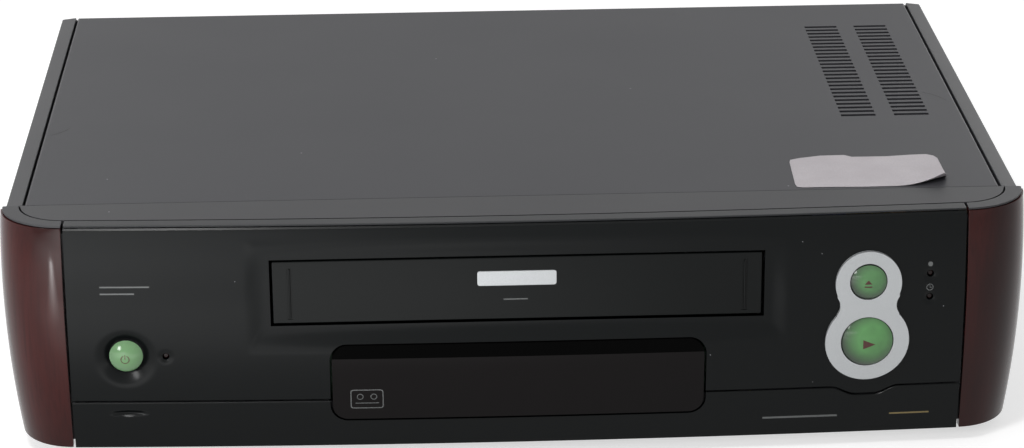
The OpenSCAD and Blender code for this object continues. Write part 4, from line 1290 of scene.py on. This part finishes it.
# %% Paint everything
SLOT_FINISH = {
    "cover_metal": "cover_paint",
    "case_plastic": "case_grey",
    "ledge_plastic": "ledge_grey",
    "cheek_plastic": "cheek_red",
    "fascia_plastic": "fascia_black",
    "window_plastic": "window_black",
    "bezel_silver": "bezel_paint",
    "button_green": "play_green",
    "key_plastic": "key_black",
    "socket_colours": "socket_yellow",
    "foot_rubber": "rubber",
    "roller_rubber": "rubber",
    "gear_plastic": "gear_white",
    "pinion_brass": "brass",
}
PAINTED = {
    "fascia_black": (fascia, sleeve, strip),
    "flap_black": (flap,),
    "bezel_paint": (bezel, badge),
    "ledge_grey": (ledge,),
    "case_grey": (caps,),
    "cover_paint": (cover,),
    "cheek_red": cheeks,
    "lens_red": (lenses,),
    "ink_brown": inks,
    "print_grey": (lamp_signs, left_lines, flap_line, silver_line, cassette_sign),
    "print_gold": (gold_line,),
    "sticker_paper": (sticker,),
    "scratch_dark": (scratches,),
    "speck_pale": (specks,),
}
for name, node in (*nodes.items(), *softened.items()):
    slot = node_slot[name]
    paint(node, SLOT_FINISH.get(slot, slot if slot in finishes else "steel"))
for name, pieces in PAINTED.items():
    for piece in pieces:
        paint(piece, name)
print("painted", len(nodes) + len(softened) + sum(map(len, PAINTED.values())), "pieces")


# %% [markdown]
# Phono sockets are told apart by colour. The three barrels of a group are one node, so the
# finish finds out by place which barrel it is on, and blends from one colour to the next halfway
# between them.


# %% Colour the phono sockets
def three_colors(name, places):
    color, white, red = (0.5, 0.38, 0.04), (0.55, 0.55, 0.52), (0.35, 0.03, 0.03)
    tree, shader, place = new_finish(name, color, 0.35)
    x = add_node(tree, "SeparateXYZ", {"Vector": place})["X"]
    for first, second, following in ((*places[:2], white), (*places[1:], red)):
        border = (first + second) / 2 * MM
        step = between(tree, x, 0, 1, border - 0.0001, border + 0.0001)
        color = blend_colors(tree, step, color, following)
    fill(tree, shader, {"Base Color": color})
    relief(tree, shader, clouds(tree, place, 1500, 2), 0.01)


three_colors("front_phono", (100, 114, 128))
three_colors("rear_phono", (20, 36, 52))
paint(softened["front_av_sockets"], "front_phono")
paint(softened["audio_sockets"], "rear_phono")

# %% [markdown]
# The machine stands on a plain pale floor with a white surround. Under plain light the floor
# comes out light grey, so a little white is added to it where the camera or a reflection looks at
# it. The shadow under the machine stays, because the rest of its tone still comes from the lamps.


# %% Floor and surround
def seen_directly(tree):
    ray = add_node(tree, "LightPath", {})
    either = combine(tree, "MAXIMUM", ray["Is Camera Ray"], ray["Is Glossy Ray"])
    return combine(tree, "MAXIMUM", either, ray["Is Transmission Ray"])


FLOOR_TONE, FLOOR_LIFT = 0.64, 0.58
clear()
bpy.ops.mesh.primitive_plane_add(size=14, location=(0, 2, 0))
floor = take("floor")
tree, shader = new_finish("floor_white", [FLOOR_TONE] * 3, 0.9, 0.1)[:2]
lift = combine(tree, "MULTIPLY", seen_directly(tree), FLOOR_LIFT)
fill(tree, shader, {"Emission Color": (1, 1, 1, 1), "Emission Strength": lift})
paint(floor, "floor_white")

SKY_LIGHT = 0.4
world = bpy.data.worlds.new("studio")
scene.world = world
world.use_nodes = True
tree = world.node_tree
tree.nodes.clear()
strength = between(tree, seen_directly(tree), SKY_LIGHT, 1, 0, 1)
surround = add_node(tree, "Background", {"Color": (1, 1, 1, 1), "Strength": strength})
add_node(tree, "OutputWorld", {"Surface": surround["Background"]})
print("sky light", SKY_LIGHT)


# %% [markdown]
# Soft lamps do the rest, placed in metres and set in watts. Each fades out over a share of its
# width at its left and right, and of its height at its near and far side, so that no mirror image
# shows a hard edge. A large one hangs overhead. A window-like one at the front left draws the
# highlights on the cheek and in the dish of the standby button. A small one high in front lights
# the fine bevels of the front, and two behind lift the back. Three lie low and shine upwards.
# One is close before the machine, and a long one, turned to the left and raised at its far end,
# is what the black front mirrors, so it grows lighter to the left. The last is a narrow streak
# that lights the left cheek alone.


# %% Lamps
def soft_light(name, place, target, size, power, fades=(0.25, 0.25, 0.25, 0.25)):
    lamp = bpy.data.lights.new(name, "AREA")
    lamp.shape = "RECTANGLE"
    lamp.size, lamp.size_y = size
    lamp.energy = power
    lamp.use_nodes = True
    tree = lamp.node_tree
    where = add_node(tree, "NewGeometry", {})["Parametric"]
    split = add_node(tree, "SeparateXYZ", {"Vector": where})
    left, right, near, far = fades
    share = between(tree, split["X"], 0, 1, 0, left)
    for axis, start, end in (("X", 1, 1 - right), ("Y", 0, near), ("Y", 1, 1 - far)):
        edge = between(tree, split[axis], 0, 1, start, end)
        share = combine(tree, "MULTIPLY", share, edge)
    glow = next(node for node in tree.nodes if node.type == "EMISSION")
    fill(tree, glow, {"Strength": share})
    holder = bpy.data.objects.new(name, lamp)
    scene.collection.objects.link(holder)
    aim = (Vector(target) - Vector(place)).to_track_quat("-Z", "Y")
    holder.matrix_world = Matrix.Translation(place) @ aim.to_matrix().to_4x4()
    holder.visible_camera = False
    print(name, power, "W")
    return holder


def turned_card(name, place, size, power, fades, left, rise):
    lamp = soft_light(name, place, (place[0], place[1], 1), size, power, fades)
    turn = Matrix.Translation(place)
    for degrees, axis in ((-left, "Z"), (-rise, "X"), (180, "X")):
        turn = turn @ Matrix.Rotation(math.radians(degrees), 4, axis)
    lamp.matrix_world = turn
    return lamp


SOFT_LIGHTS = {
    "overhead": ((-0.35, -0.1, 1.7), (0, 0, 0), (1.8, 1.4), 8.6),
    "left_window": ((-0.95, -1.15, 0.6), (-0.1, -0.15, 0.06), (0.42, 0.5), 16),
    "top_front": ((-0.33, -0.7, 1.41), (-0.15, -0.15, 0.1), (0.22, 0.3), 9),
    "back_left": ((-0.75, 1.6, 0.62), (-0.1, 0, 0.1), (0.7, 0.5), 1.8),
    "back_right": ((0.95, 1.6, 0.62), (0.1, 0, 0.1), (0.7, 0.5), 4),
    "near_glow": ((-0.14, -0.3, 0.01), (-0.14, -0.3, 1), (0.46, 0.17), 0.26),
}
for name, settings in SOFT_LIGHTS.items():
    soft_light(name, *settings)
low_glow = ((-0.4, -1.1, 0.17), (0.56, 1.9), 12, (0.5, 0.5, 0.15, 0.15))
turned_card("low_glow", *low_glow, left=11, rise=10)
low_streak = ((-0.365, -0.49, 0.014), (0.075, 0.53), 4.2, (0.5, 0.5, 0.95, 0.05))
streak = turned_card("streak", *low_streak, left=26, rise=0)
cheek_only = bpy.data.collections.new("cheek_only")
cheek_only.objects.link(cheeks[0])
streak.light_linking.receiver_collection = cheek_only
